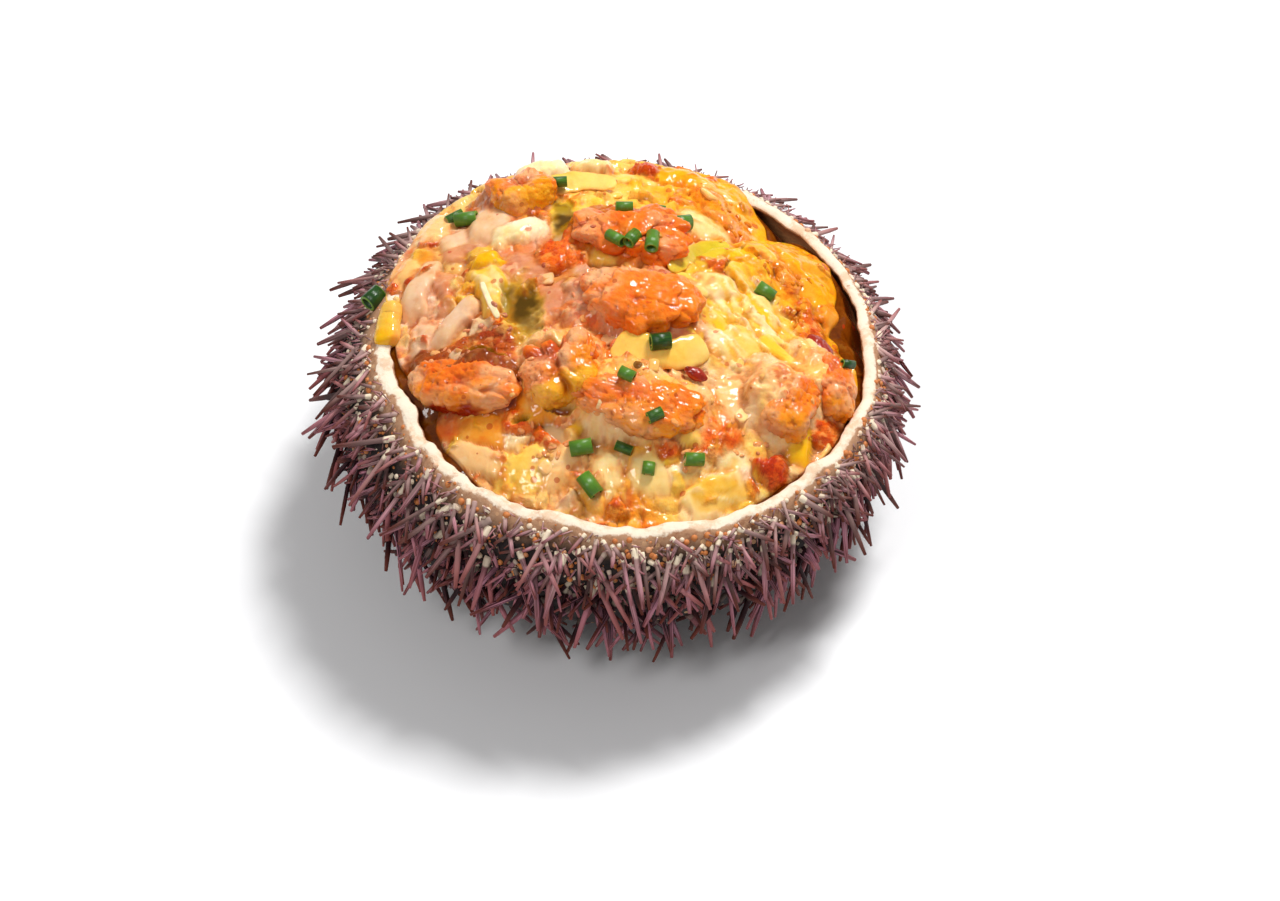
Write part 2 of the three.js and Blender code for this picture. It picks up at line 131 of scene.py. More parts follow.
# What shows of the mixed filling: form, x, y, length, width, rise, turn and tint.
MORSELS = (
    ("lump", -11.4, 27.6, 8.6, 5.5, 2.6, 10, "milk"),
    ("lump", -4.6, 28.4, 6.5, 4.5, 2.5, 0, "cream"),
    ("slab", -2.0, 27.2, 12.0, 3.4, 0.7, -4, "butter"),
    ("shingle", -6.4, 23.6, 9.0, 5.0, 1.3, 70, "butter"),
    ("grain", 3.0, 28.8, 4.4, 3.4, 2.0, 0, "rust"),
    ("lump", 7.0, 28.2, 12.0, 5.0, 1.4, -14, "amber"),
    ("lump", 14.5, 25.2, 12.0, 6.0, 0.7, -35, "amber"),
    ("grain", 10.6, 24.0, 7.0, 4.4, 0.7, -40, "coral"),
    ("grain", 13.0, 19.6, 6.0, 5.0, 0.7, -50, "coral"),
    ("lump", 10.0, 16.2, 8.0, 6.0, 0.8, -20, "cream"),
    ("lump", 19.0, 20.0, 10.0, 6.0, 0.7, -50, "gold"),
    ("lump", 22.4, 14.4, 9.0, 6.0, 0.8, -58, "amber"),
    ("lump", 24.6, 9.4, 8.0, 5.4, 0.9, -66, "amber"),
    ("lump", 26.6, 6.2, 4.5, 4.0, 1.2, -60, "apricot"),
    ("grain", 20.4, 10.0, 5.6, 2.6, 0.9, -52, "apricot"),
    ("grain", 24.0, 3.4, 4.6, 3.0, 0.9, -60, "coral"),
    ("slab", 17.2, 14.6, 7.0, 2.6, 1.1, -48, "butter"),
    ("slab", -17.8, 17.0, 5.6, 10.0, 1.4, -6, "blush"),
    ("lump", -14.5, 13.0, 8.2, 5.6, 1.8, 6, "milk"),
    ("lump", -25.7, 17.0, 8.4, 5.6, 1.3, 40, "peach"),
    ("shingle", -21.6, 14.2, 7.0, 4.4, 0.9, 200, "blush"),
    ("shingle", -21.6, 10.8, 5.6, 3.4, 0.8, 190, "rose"),
    ("lump", -27.0, 12.4, 4.0, 5.0, 0.8, 40, "apricot"),
    ("slab", -26.6, 5.6, 9.6, 3.6, 1.3, 258, "blush"),
    ("slab", -22.5, -1.8, 9.4, 3.6, 1.7, 48, "blush"),
    ("lump", -26.0, -2.4, 5.0, 8.0, 1.1, -8, "blush"),
    ("lump", -23.6, 4.6, 3.0, 8.0, 0.9, 14, "rose"),
    ("lump", -28.6, 9.4, 5.0, 6.0, 1.0, 30, "peach"),
    ("lump", -18.4, 7.6, 5.6, 3.4, 1.9, 8, "gold"),
    ("slab", -17.6, 3.0, 10.0, 4.8, 1.6, 285, "butter"),
    ("lump", -12.7, 6.6, 7.0, 6.0, 0.8, 0, "rose"),
    ("grain", -8.0, 8.6, 8.0, 7.0, 1.2, 20, "coral"),
    ("lump", -3.2, 7.6, 6.0, 4.4, 1.3, -20, "butter"),
    ("shingle", -7.6, 1.4, 5.0, 3.6, 0.7, 200, "rose"),
    ("lump", -9.0, -0.6, 6.0, 5.0, 0.7, 0, "rose"),
    ("grain", -17.6, -6.2, 10.5, 6.4, 1.3, 10, "clove"),
    ("grain", -22.6, -7.6, 5.0, 3.4, 0.9, 10, "clove"),
    ("grain", -15.8, -2.8, 5.0, 3.0, 1.0, 10, "coral"),
    ("slab", -2.2, -2.6, 4.6, 1.4, 1.3, 2, "butter"),
    ("slab", -3.2, -4.4, 5.4, 1.5, 1.2, -22, "blush"),
    ("shingle", 9.6, 9.8, 9.5, 4.0, 1.2, 55, "lime"),
    ("lump", 14.6, 11.0, 8.0, 5.0, 0.7, -40, "gold"),
    ("lump", 11.2, 4.4, 5.4, 5.4, 1.1, 0, "cream"),
    ("lump", 16.4, 2.4, 6.0, 6.0, 0.8, 0, "lemon"),
    ("lump", 14.0, -5.2, 8.0, 7.0, 0.9, 0, "cream"),
    ("slab", 19.8, -4.8, 6.5, 3.0, 1.0, -38, "lemon"),
    ("lump", 14.6, -14.6, 8.0, 8.0, 0.9, 100, "peach"),
    ("slab", 6.2, -18.8, 6.6, 3.2, 1.3, 10, "butter"),
    ("grain", 11.4, -18.4, 8.0, 6.0, 0.8, 0, "coral"),
    ("slab", 2.4, -23.0, 4.0, 7.6, 0.7, 22, "cream"),
    ("lump", 8.0, -23.8, 8.0, 3.6, 0.6, 10, "milk"),
    ("lump", 13.4, -21.8, 5.0, 4.0, 0.7, 20, "milk"),
    ("slab", 11.0, -25.8, 9.4, 4.6, 1.0, 26, "cream"),
    ("slab", 11.2, -25.0, 6.0, 2.4, 1.2, 26, "butter"),
    ("grain", 18.4, -21.2, 5.4, 4.6, 1.5, 30, "rust"),
    ("slab", 21.8, -16.6, 4.4, 5.4, 1.2, -10, "gold"),
    ("grain", 24.4, -14.0, 5.0, 3.6, 1.0, 50, "coral"),
    ("lump", -2.2, -24.2, 4.6, 5.4, 0.6, 10, "cream"),
    ("lump", -9.2, -23.2, 6.0, 6.0, 0.8, 0, "peach"),
    ("grain", -10.4, -20.4, 4.0, 2.6, 0.8, -20, "coral"),
    ("grain", 5.6, -21.4, 4.4, 2.6, 0.8, 10, "coral"),
    ("lump", -13.8, -22.8, 8.4, 5.6, 1.0, -20, "butter"),
    ("slab", -18.6, -20.6, 8.0, 3.6, 1.0, -28, "peach"),
    ("slab", -22.6, -15.8, 5.6, 3.8, 0.7, -28, "coral"),
    ("slab", -18.4, -17.2, 8.4, 3.4, 0.8, -24, "apricot"),
    ("grain", -14.4, -17.0, 5.0, 4.0, 0.9, 0, "coral"),
    ("slab", -10.3, -15.4, 7.6, 5.0, 1.4, 6, "apricot"),
    ("lump", -2.7, -18.8, 3.0, 2.8, 1.4, 0, "gold"),
    ("lump", -6.4, -18.4, 3.0, 2.4, 0.8, 0, "gold"),
    ("grain", 25.0, -2.6, 4.4, 4.4, 1.4, -40, "rust"),
)

# Broad drifts of colour over the sauce: x, y, reach and tint.
WASHES = (
    (-23.0, 9.0, 8.0, "blush"),
    (-15.0, 7.0, 7.0, "rose"),
    (-6.0, 3.0, 7.0, "rose"),
    (-4.0, 24.0, 9.0, "butter"),
    (7.0, 24.0, 8.0, "amber"),
    (15.0, 17.0, 8.0, "amber"),
    (22.0, 9.0, 10.0, "amber"),
    (14.0, 3.0, 7.0, "lemon"),
    (16.0, -6.0, 7.0, "cream"),
    (13.0, -16.0, 7.0, "peach"),
    (10.0, -22.0, 8.0, "cream"),
    (1.0, -23.0, 7.0, "apricot"),
    (-11.0, -24.0, 8.0, "peach"),
    (-22.0, -13.0, 7.0, "peach"),
    (-2.0, -12.0, 7.0, "rose"),
    (-22.0, -3.0, 7.0, "blush"),
    (22.0, -16.0, 6.0, "peach"),
)

# Oil and juice that have settled in hollows, and two dark rows that are painted shade: x, y, length, width,
# turn and tint.
POOLS = (
    (-8.9, 16.8, 2.4, 8.6, 4, "olive"),
    (-8.2, 11.4, 1.9, 2.6, -4, "broth"),
    (-13.6, -0.8, 3.6, 9.8, 12, "olive"),
    (-10.8, -8.2, 4.6, 1.3, -12, "olive"),
    (12.6, -2.4, 3.0, 3.4, -30, "lime"),
    (-9.4, -18.9, 3.4, 2.2, -40, "broth"),
    # A dark hole in clove: painted shade.
    (-8.4, -16.2, 4.2, 1.2, -4, "clove"),
    (-13.6, -16.9, 2.8, 1.2, -20, "olive"),
    # A dark crevice: olive oil and painted shade.
    (-18.0, -7.8, 5.4, 1.2, -12, "olive"),
)

# Strips that curve clear of the sauce: three plan points of an arc, width, thickness, lift, tilt and tint.
STRIPS = (
    ((-1.6, -7.8), (4.2, -11.8), (10.0, -7.2), 4.8, 1.0, 0.35, 18, "butter"),
    ((-18.6, 2.6), (-17.6, -0.8), (-16.3, -3.6), 0.9, 0.6, 1.5, 0, "milk"),
    ((-10.6, 22.4), (-6.4, 25.8), (-1.6, 22.8), 3.0, 0.5, 0.5, 20, "butter"),
    ((5.6, 4.6), (8.0, 10.8), (13.4, 13.2), 2.2, 0.4, 0.2, 24, "lime"),
    ((-3.8, -2.4), (-1.8, -2.9), (0.6, -2.8), 1.3, 0.6, 1.3, 0, "butter"),
    ((-30.0, 4.0), (-31.2, 1.0), (-30.8, -2.4), 3.2, 2.4, 0.2, 30, "gold"),
)

# Chopped bits that show between the larger pieces: tint, share of the bits, and how crumbly they are.
CHOPPED = (
    ("cream", 0.16, 0.0),
    ("butter", 0.12, 0.0),
    ("gold", 0.12, 0.0),
    ("coral", 0.20, 1.0),
    ("rust", 0.06, 1.0),
    ("blush", 0.12, 0.0),
)

# Bits strewn over the mound. Spans are the length, width and thickness from and to. Lift is how far a bit
# stands up, as a share of its thickness.
Strewn = namedtuple("Strewn", "number spans crumbly lift tilt roundness tints")
STREWN = {
    "slice": Strewn(
        20, ((1.8, 3.4), (1.2, 2.2), (0.5, 0.9)), 0.0, -0.15, 0.5, 0.5,
        ("cream", "butter", "blush", "peach")),
    "crumb": Strewn(
        200, ((0.5, 1.5), (0.4, 1.1), (0.4, 0.8)), 1.0, -0.3, 1.0, 0.75,
        ("coral", "coral", "rust", "apricot")),
}

# Torn patches whose fibres show: x, y, reach, turn, and the tints of ridges and furrows.
FIBRES = (
    (15.0, -1.6, 7.0, -48, "milk", "gold"),
    (16.4, 4.0, 4.0, -52, "milk", "gold"),
    (21.0, 12.0, 6.5, -50, "gold", "apricot"),
    (12.0, 22.0, 6.5, -25, "cream", "amber"),
    (11.0, -24.0, 4.5, 20, "milk", "gold"),
    (-17.8, 3.0, 4.5, -72, "milk", "gold"),
    (-1.0, -3.4, 3.6, 10, "milk", "gold"),
)

# Dark toasted bits: place, size and turn.
BITS = (
    ((8.6, -11.6), (3.4, 1.7, 1.5), -20),
    ((24.6, -2.4), (4.0, 3.0, 2.4), -40),
)

# Cut chives: place, turn, length and radius.
CHIVES = (
    ((-9.3, 22.4), 4, 2.6, 0.8),
    ((-21.2, 17.6), -8, 3.0, 1.05),
    ((-22.8, 18.6), 30, 2.4, 0.75),
    ((-33.0, 6.0), 52, 2.6, 1.2),
    ((-0.4, 13.1), 5, 2.2, 0.85),
    ((4.0, 18.2), -8, 2.0, 0.65),
    ((7.1, 14.7), 28, 2.5, 1.1),
    ((-1.5, 7.4), -40, 2.4, 0.95),
    ((0.6, 7.6), 62, 2.3, 0.9),
    ((3.2, 7.1), 84, 3.0, 0.9),
    ((17.9, 5.4), -22, 2.5, 1.1),
    ((4.2, -8.8), 12, 2.6, 1.15),
    ((0.0, -15.0), -28, 2.0, 0.95),
    ((3.5, -20.0), 30, 2.0, 0.8),
    ((-5.7, -21.4), 10, 2.8, 1.1),
    ((-0.4, -21.4), -24, 2.2, 0.8),
    ((-4.6, -25.8), -58, 3.0, 1.2),
    ((2.7, -23.8), 86, 1.6, 0.8),
    ((8.4, -22.4), 2, 2.4, 0.95),
    ((28.2, -5.6), 14, 2.0, 0.6),
)


def srgb(red, green, blue):
    """A colour on the 0 to 255 scale of a screen, as linear light."""
    shares = (value / 255 for value in (red, green, blue))
    return tuple(((c + 0.055) / 1.055) ** 2.4 if c > 0.04045 else c / 12.92 for c in shares)


# Settings that a user would change

def length_setting(name, description, default):
    return bpy.props.FloatProperty(
        name=name, description=description, default=default * MM, unit="LENGTH", precision=5)


def colour_setting(name, description, default):
    return bpy.props.FloatVectorProperty(
        name=name, description=description, default=srgb(*default), subtype="COLOR", min=0, max=1)


class ShellSettings(bpy.types.PropertyGroup):
    radius: length_setting("Radius", "Half the width of the bare shell", 36)
    half_height: length_setting("Half height", "Half the height of the whole shell before it is cut", 20)
    foot_depth: length_setting("Foot depth", "How much the flat foot takes off the bottom", 0.8)
    wall: length_setting("Wall", "Thickness of the shell", 1.3)
    rim_height: length_setting("Rim height", "Mean height of the cut edge", 28)
    rim_lean: bpy.props.FloatProperty(
        name="Rim lean", description="Rise of the cut edge for each unit toward +X", default=-0.06)
    chalk: colour_setting("Chalk", "The cut edge", (246, 229, 205))
    toast: colour_setting("Toast", "Browned parts of the cut edge", (220, 170, 124))
    sand: colour_setting("Sand", "The outside just under the cut edge", (190, 142, 106))
    # The outside between the spines, deepened to near black as painted shade in the gaps.
    skin: colour_setting("Skin", "The outside between the spines", (26, 8, 6))
    inside: colour_setting("Inside", "The inner wall", (244, 170, 108))


class SpineSettings(bpy.types.PropertyGroup):
    longest: length_setting("Longest", "Length of the longest spines", 9.5)
    shortest: length_setting("Shortest", "Length of the shortest of the long spines", 5.5)
    girth: length_setting("Girth", "Radius of a long spine's shaft near its base", 0.33)
    plum: colour_setting("Plum", "Darkest spines", (38, 11, 16))
    mauve: colour_setting("Mauve", "Lightest spines", (200, 136, 154))
    umber: colour_setting("Umber", "Brown spines and tips", (140, 70, 54))
    ash: colour_setting("Ash", "Grey spines near the rim", (206, 168, 160))
    collar: colour_setting("Collar", "The ring at a spine's base", (246, 228, 200))
    bead: colour_setting("Bead", "The knobs that spines stand on", (206, 124, 62))


class FillingSettings(bpy.types.PropertyGroup):
    peak: length_setting("Peak", "Height of the mound above the rim", 9)
    milk: colour_setting("Milk", "White cream", (253, 228, 184))
    cream: colour_setting("Cream", "Pale sauce", (254, 216, 142))
    blush: colour_setting("Blush", "Pale slices under sauce", (234, 190, 150))
    peach: colour_setting("Peach", "Peach sauce", (254, 198, 130))
    apricot: colour_setting("Apricot", "Orange sauce", (246, 154, 40))
    butter: colour_setting("Butter", "Pale yellow pieces", (254, 204, 92))
    lemon: colour_setting("Lemon", "Cool yellow pieces", (250, 210, 84))
    lime: colour_setting("Lime", "Green-yellow slices", (214, 184, 36))
    gold: colour_setting("Gold", "Full yellow pieces", (250, 184, 12))
    amber: colour_setting("Amber", "Browned yellow sauce", (246, 168, 6))
    rose: colour_setting("Rose", "Pink-brown sauce", (214, 140, 100))
    coral: colour_setting("Coral", "Sauce stained by roe", (236, 106, 24))
    rust: colour_setting("Rust", "Toasted crumbs", (190, 50, 8))
    clove: colour_setting("Clove", "Dark toasted crumbs", (140, 64, 24))
    # Toffee also serves as painted shade: in the seams between pieces, in the hollows and on the filling's
    # side wall in the gap.
    toffee: colour_setting("Toffee", "Browned sauce in the hollows", (190, 92, 10))
    olive: colour_setting("Olive", "Oil in the hollows", (84, 58, 2))
    broth: colour_setting("Broth", "Thin grey juice", (190, 152, 106))


class RoeSettings(bpy.types.PropertyGroup):
    flame: colour_setting("Flame", "Bright smooth roe", (254, 130, 24))
    grain: colour_setting("Grain", "Granular roe", (242, 116, 26))
    amber: colour_setting("Amber", "Golden roe", (247, 146, 4))
    film: colour_setting("Film", "Sauce that clings to the roe", (242, 178, 124))
    flesh: colour_setting("Flesh", "Smooth flanks of a lobe", (255, 176, 36))
    char: colour_setting("Char", "Toasted edges", (160, 34, 4))
    grain_size: length_setting("Grain size", "Distance between grains", 0.55)


class ChiveSettings(bpy.types.PropertyGroup):
    leaf: colour_setting("Leaf", "Light side of a chive", (84, 130, 36))
    shade: colour_setting("Shade", "Dark streaks of a chive", (26, 68, 12))
    cut: colour_setting("Cut", "Cut end of a chive", (110, 150, 44))


class StageSettings(bpy.types.PropertyGroup):
    elevation: bpy.props.FloatProperty(
        name="Elevation", description="Camera's angle above level", default=math.radians(49.1),
        subtype="ANGLE")
    distance: length_setting("Distance", "Camera's distance from where it looks", 447.6)
    aim: bpy.props.FloatVectorProperty(
        name="Aim", description="Where the camera looks", default=(3.34 * MM, -18.67 * MM, 28 * MM),
        subtype="TRANSLATION")
    lens: bpy.props.FloatProperty(
        name="Lens", description="Focal length on a 36 mm sensor", default=100, min=1, unit="CAMERA")
    floor: colour_setting("Floor", "Pale floor", (246, 246, 247))


SETTINGS = {
    "urchin_shell": ShellSettings,
    "urchin_spines": SpineSettings,
    "urchin_filling": FillingSettings,
    "urchin_roe": RoeSettings,
    "urchin_chives": ChiveSettings,
    "urchin_stage": StageSettings,
}


# Repeatable noise on arrays of points

LATTICE = np.array((374761393, 668265263, 1440662683), np.int64)
CORNERS = np.array(list(product((0, 1), repeat=3)))
NEIGHBOURS = np.array(list(product((-1, 0, 1), repeat=3)))


def lattice_draw(cells, seed):
    """A repeatable draw between 0 and 1 for each row of whole numbers."""
    mixed = cells.astype(np.int64) @ LATTICE + np.int64(seed * 7919 + 13)
    mixed = (mixed ^ (mixed >> 13)) * np.int64(1274126177)
    mixed = mixed ^ (mixed >> 16)
    return (mixed & 0xFFFFFF) / 0xFFFFFF


def smooth_noise(points, pitch, seed=0):
    """Noise between -1 and 1 whose swells are about `pitch` apart."""
    place = points / pitch
    cell = np.floor(place)
    part = place - cell
    blend = part * part * (3 - 2 * part)
    total = np.zeros(len(points))
    for corner in CORNERS:
        weight = np.prod(np.where(corner, blend, 1 - blend), axis=1)
        total += weight * lattice_draw(cell + corner, seed)
    return 2 * total - 1


def layered_noise(points, pitch, seed=0, layers=3):
    """Smooth noise with finer and lower layers on top."""
    total = np.zeros(len(points))
    for layer in range(layers):
        total += 0.5 ** layer * smooth_noise(points, pitch * 0.5 ** layer, seed + layer)
    return total


def ripples(points, waves):
    """Uneven rise from several noises, each given by height, pitch, seed and layers."""
    return sum(height * layered_noise(points, pitch, seed, layers) for height, pitch, seed, layers in waves)


def grain_noise(points, pitch, seed=0):
    """Rounded grains about `pitch` apart: height, 1 on a grain's top, and a draw for each grain."""
    place = points / pitch
    cell = np.floor(place)
    nearest = np.full(len(points), 9.0)
    chosen = np.zeros(len(points))
    for offset in NEIGHBOURS:
        spot = cell + offset
        drawn = np.stack([lattice_draw(spot, seed + axis) for axis in range(3)], axis=1)
        distance = np.linalg.norm(spot + drawn - place, axis=1)
        chosen = np.where(distance < nearest, lattice_draw(spot, seed + 5), chosen)
        nearest = np.minimum(nearest, distance)
    return np.clip(1 - nearest * nearest, 0, 1), chosen


def nearest_cell(points, pitch, seed=0):
    """Cells about `pitch` wide on the plan: way to the border, offset from the middle, and the cell."""
    place = points * np.array((1, 1, 0)) / pitch
    cell = np.floor(place)
    nearest = np.full(len(points), 9.0)
    second = np.full(len(points), 9.0)
    offset = np.zeros((len(points), 3))
    owner = np.zeros((len(points), 3))
    for step in NEIGHBOURS[NEIGHBOURS[:, 2] == 0]:
        spot = cell + step
        drawn = np.zeros((len(points), 3))
        drawn[:, 0] = lattice_draw(spot, seed)
        drawn[:, 1] = lattice_draw(spot, seed + 1)
        away = place - spot - drawn
        distance = np.linalg.norm(away, axis=1)
        closer = distance < nearest
        second = np.where(closer, nearest, np.minimum(second, distance))
        nearest = np.where(closer, distance, nearest)
        offset = np.where(closer[:, None], away, offset)
        owner = np.where(closer[:, None], spot, owner)
    return (second - nearest) * pitch, offset * pitch, owner


def draw(index, stream):
    """A repeatable draw between 0 and 1 for item `index`, as the solids' spines use it."""
    value = np.sin(index * 12.9898 + stream * 78.233) * 43758.5453
    return value - np.floor(value)


def ease(value, low, high):
    """A share that runs smoothly from 0 at `low` to 1 at `high`."""
    share = np.clip((value - low) / (high - low), 0, 1)
    return share * share * (3 - 2 * share)


# The shell's and the mound's form, in millimetres

def shell():
    return bpy.context.scene.urchin_shell


def shell_centre():
    return (shell().half_height - shell().foot_depth) / MM


def rim_height(angle):
    radius = spheroid_radius(shell().rim_height / MM, 0)
    height = shell().rim_height / MM + shell().rim_lean * radius * np.cos(angle)
    for waves, size, shift in RIM_CHIPS:
        height = height + size * np.sin(waves * angle + shift)
    return height


def spheroid_radius(z, inset):
    rise = (z - shell_centre()) / (shell().half_height / MM - inset)
    return (shell().radius / MM - inset) * np.sqrt(np.clip(1 - rise * rise, 0, 1))


def spheroid_latitude(z, inset):
    return np.arcsin(np.clip((z - shell_centre()) / (shell().half_height / MM - inset), -1, 1))


def spheroid_point(latitude, inset):
    radius = (shell().radius / MM - inset) * np.cos(latitude)
    return radius, shell_centre() + (shell().half_height / MM - inset) * np.sin(latitude)


def opening_x():
    """How far the leaning cut moves the middle of the opening toward +X."""
    flatness = (shell().radius / shell().half_height) ** 2
    return -shell().rim_lean * flatness * (shell().rim_height / MM - shell_centre())


def swelled(level, angle, swells):
    """A level round the edge with swells added, each given by an angle, a spread and a size."""
    for middle, spread_angle, size in swells:
        away = np.angle(np.exp(1j * (angle - math.radians(middle))))
        level = level + size * np.exp(-(away / math.radians(spread_angle)) ** 2)
    return level


def edge_level(angle):
    sway = EDGE_RISE * np.cos(angle - EDGE_RISE_AT) - EDGE_DIP * np.cos(2 * (angle - EDGE_DIP_AT))
    return swelled(EDGE_MEAN + sway, angle, EDGE_BULGES)


def gap_width(angle):
    width = swelled(np.zeros_like(angle), angle, GAPS)
    for waves, size, shift in GAP_SCALLOPS:
        width = width * (1 + size * np.sin(waves * angle + shift))
    return width


def edge_radius(angle):
    rim = rim_height(angle)
    inside = spheroid_radius(rim, shell().wall / MM + FIT_GAP) - gap_width(angle)
    spill = ease(edge_level(angle), SPILL_FROM, SPILL_FULL)
    return inside + spill * (spheroid_radius(rim, 0) + SPILL_OVERHANG - inside)


def mound_height(x, y):
    angle = np.arctan2(y, x)
    share = np.clip((np.hypot(x, y) / edge_radius(angle)) ** 2, 0, 1)
    top = (shell().rim_height + bpy.context.scene.urchin_filling.peak) / MM
    return top + (rim_height(angle) + edge_level(angle) - top) * share


def mound_normal(x, y):
    step = SLOPE_STEP
    slope_x = (mound_height(x + step, y) - mound_height(x - step, y)) / (2 * step)
    slope_y = (mound_height(x, y + step) - mound_height(x, y - step)) / (2 * step)
    normal = np.array((-float(slope_x), -float(slope_y), 1.0))
    return normal / np.linalg.norm(normal)


def frame_on_mound(x, y, turn):
    """Columns along, across and up of a piece on the mound, placed from the opening's middle."""
    x, y = np.float64(x + opening_x()), np.float64(y)
    up = mound_normal(x, y)
    along = np.array((math.cos(math.radians(turn)), math.sin(math.radians(turn)), 0.0))
    along = along - up * (along @ up)
    along = along / np.linalg.norm(along)
    return np.column_stack((along, np.cross(up, along), up)), np.array((x, y, float(mound_height(x, y))))


def footprint(points, x, y, length, width, turn, power=2.6):
    """Place along a piece, -1 to 1, and distance from its middle, 1 at its edge. Power squares corners."""
    c, s = math.cos(math.radians(turn)), math.sin(math.radians(turn))
    u = 2 * ((points[:, 0] - x) * c + (points[:, 1] - y) * s) / length
    v = 2 * ((points[:, 1] - y) * c - (points[:, 0] - x) * s) / width
    return u, (np.abs(u) ** power + np.abs(v) ** power) ** (1 / power)


def washed(look, points):
    """The sauce's own colour: drifts that run into each other."""
    tint, total = np.zeros((len(points), 3)), np.zeros(len(points))
    for x, y, reach, name in WASHES:
        weight = np.exp(-2 * ((points[:, 0] - x) ** 2 + (points[:, 1] - y) ** 2) / reach ** 2) + 1e-9
        tint += weight[:, None] * np.array(getattr(look, name))
        total += weight
    return tint / total[:, None]


def stained(tint, amount, colour):
    """Tints moved toward a colour by the amount at each point."""
    return tint + amount[:, None] * (np.array(colour) - tint)


def height_below(context, place):
    """Height of what lies under a place, in millimetres."""
    start = Vector((place[0], place[1], place[2] + RAY_START)) * MM
    hit = context.scene.ray_cast(context.evaluated_depsgraph_get(), start, Vector((0, 0, -1)))
    return hit[1].z / MM


# Meshes from arrays

def ring_faces(rows, columns, first=0):
    """Quads between rings of points that close round on themselves."""
    column = np.arange(columns)
    after = (column + 1) % columns
    faces = []
    for row in range(rows - 1):
        low = first + row * columns
        high = low + columns
        faces.append(np.column_stack((low + column, low + after, high + after, high + column)))
    return np.concatenate(faces)


def pole_faces(pole, start, columns, top):
    column = np.arange(columns)
    after = (column + 1) % columns
    pair = (start + column, start + after) if top else (start + after, start + column)
    return np.column_stack((pair[0], pair[1], np.full(columns, pole)))


def ringed_mesh(rings):
    """Vertices and faces of a closed shape: its first and last rings close to a point."""
    rows, columns = rings.shape[:2]
    points = np.concatenate((rings.reshape(-1, 3), rings[:1].mean(1), rings[-1:].mean(1)))
    bottom = rows * columns
    quads = ring_faces(rows, columns).tolist()
    caps = pole_faces(bottom, 0, columns, False).tolist()
    caps += pole_faces(bottom + 1, (rows - 1) * columns, columns, True).tolist()
    return points, quads + caps


def ball(rows, columns):
    """Rings of points on a ball of radius 1, without its poles."""
    polar = np.linspace(-np.pi / 2, np.pi / 2, rows + 2)[1:-1, None]
    turned = np.linspace(0, 2 * np.pi, columns, endpoint=False)
    level = np.cos(polar)
    return np.stack((level * np.cos(turned), level * np.sin(turned), np.sin(polar) + 0 * turned), axis=-1)


def joined(shapes):
    """Several (points, faces) shapes as one, with the row of each point's own shape."""
    points, faces, owner, start = [], [], [], 0
    for row, (place, corners) in enumerate(shapes):
        points.append(place)
        faces += [[corner + start for corner in face] for face in corners]
        owner.append(np.full(len(place), row))
        start += len(place)
    return np.concatenate(points), faces, np.concatenate(owner)


def write_values(mesh, values, kind="FLOAT", field="value"):
    """Keeps arrays with a row for each point as the mesh's own attributes."""
    for key, rows in values.items():
        layer = mesh.attributes.new(key, kind, "POINT")
        layer.data.foreach_set(field, np.asarray(rows, np.float32).ravel())


def piece_from(name, points, faces, material, values=None, tint=None):
    """A finished object at the origin from points in millimetres, with its own attributes."""
    mesh = bpy.data.meshes.new(name)
    mesh.from_pydata((points * MM).tolist(), [], faces)
    mesh.update()
    mesh.shade_smooth()
    write_values(mesh, values or {})
    if tint is not None:
        write_values(mesh, {"tint": np.column_stack((tint, np.ones(len(tint))))}, "FLOAT_COLOR", "color")
    mesh.materials.append(material)
    piece = bpy.data.objects.new(name, mesh)
    bpy.context.scene.collection.objects.link(piece)
    return piece


def settle(piece, slot, *nodes):
    """Ties a finished piece to the body and hides the solids it stands for. The slot it is given is not
    used.
    """
    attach(piece, BODY)
    if nodes:
        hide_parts(*nodes)


# Shader building blocks

def feed(tree, node, sources):
    """Links outputs to a node's inputs, or sets the inputs to plain values."""
    for key, source in sources.items():
        target = node.inputs[key]
        if isinstance(source, bpy.types.NodeSocket):
            tree.links.new(source, target)
        elif target.type == "RGBA":
            target.default_value = (*source, 1.0)
        else:
            target.default_value = source


def put(tree, kind, sources=None, **settings):
    """A new node with its settings made and its inputs fed."""
    node = tree.nodes.new(kind)
    for key, value in settings.items():
        setattr(node, key, value)
    feed(tree, node, sources or {})
    return node


def mix_colours(tree, factor, first, second, blend="MIX"):
    sources = {0: factor, 6: first, 7: second}
    return put(tree, "ShaderNodeMix", sources, data_type="RGBA", blend_type=blend).outputs[2]


def reckon(tree, operation, first, second=0.0, clamp=False):
    sources = {0: first, 1: second}
    return put(tree, "ShaderNodeMath", sources, operation=operation, use_clamp=clamp).outputs[0]


def vector_reckon(tree, operation, first, second):
    return put(tree, "ShaderNodeVectorMath", {0: first, 1: second}, operation=operation).outputs[0]


def times(tree, first, second):
    return reckon(tree, "MULTIPLY", first, second)


def tinted(tree, colour, mask, strength, tint):
    """A colour moved toward a tint where a mask is on."""
    return mix_colours(tree, times(tree, mask, strength), colour, tint)


def spread(tree, value, low, high):
    """A mask that runs from 0 at `low` to 1 at `high`."""
    sources = {"Value": value, "From Min": low, "From Max": high}
    return put(tree, "ShaderNodeMapRange", sources, interpolation_type="SMOOTHSTEP").outputs["Result"]


def own(tree, name, part="Fac"):
    """What a piece carries at its points under a name."""
    return put(tree, "ShaderNodeAttribute", attribute_name=name).outputs[part]


def place_of(tree):
    return put(tree, "ShaderNodeTexCoord").outputs["Object"]


def noise(tree, vector, scale, detail=3.0, roughness=0.55):
    sources = {"Vector": vector, "Scale": scale, "Detail": detail, "Roughness": roughness}
    return put(tree, "ShaderNodeTexNoise", sources).outputs["Fac"]


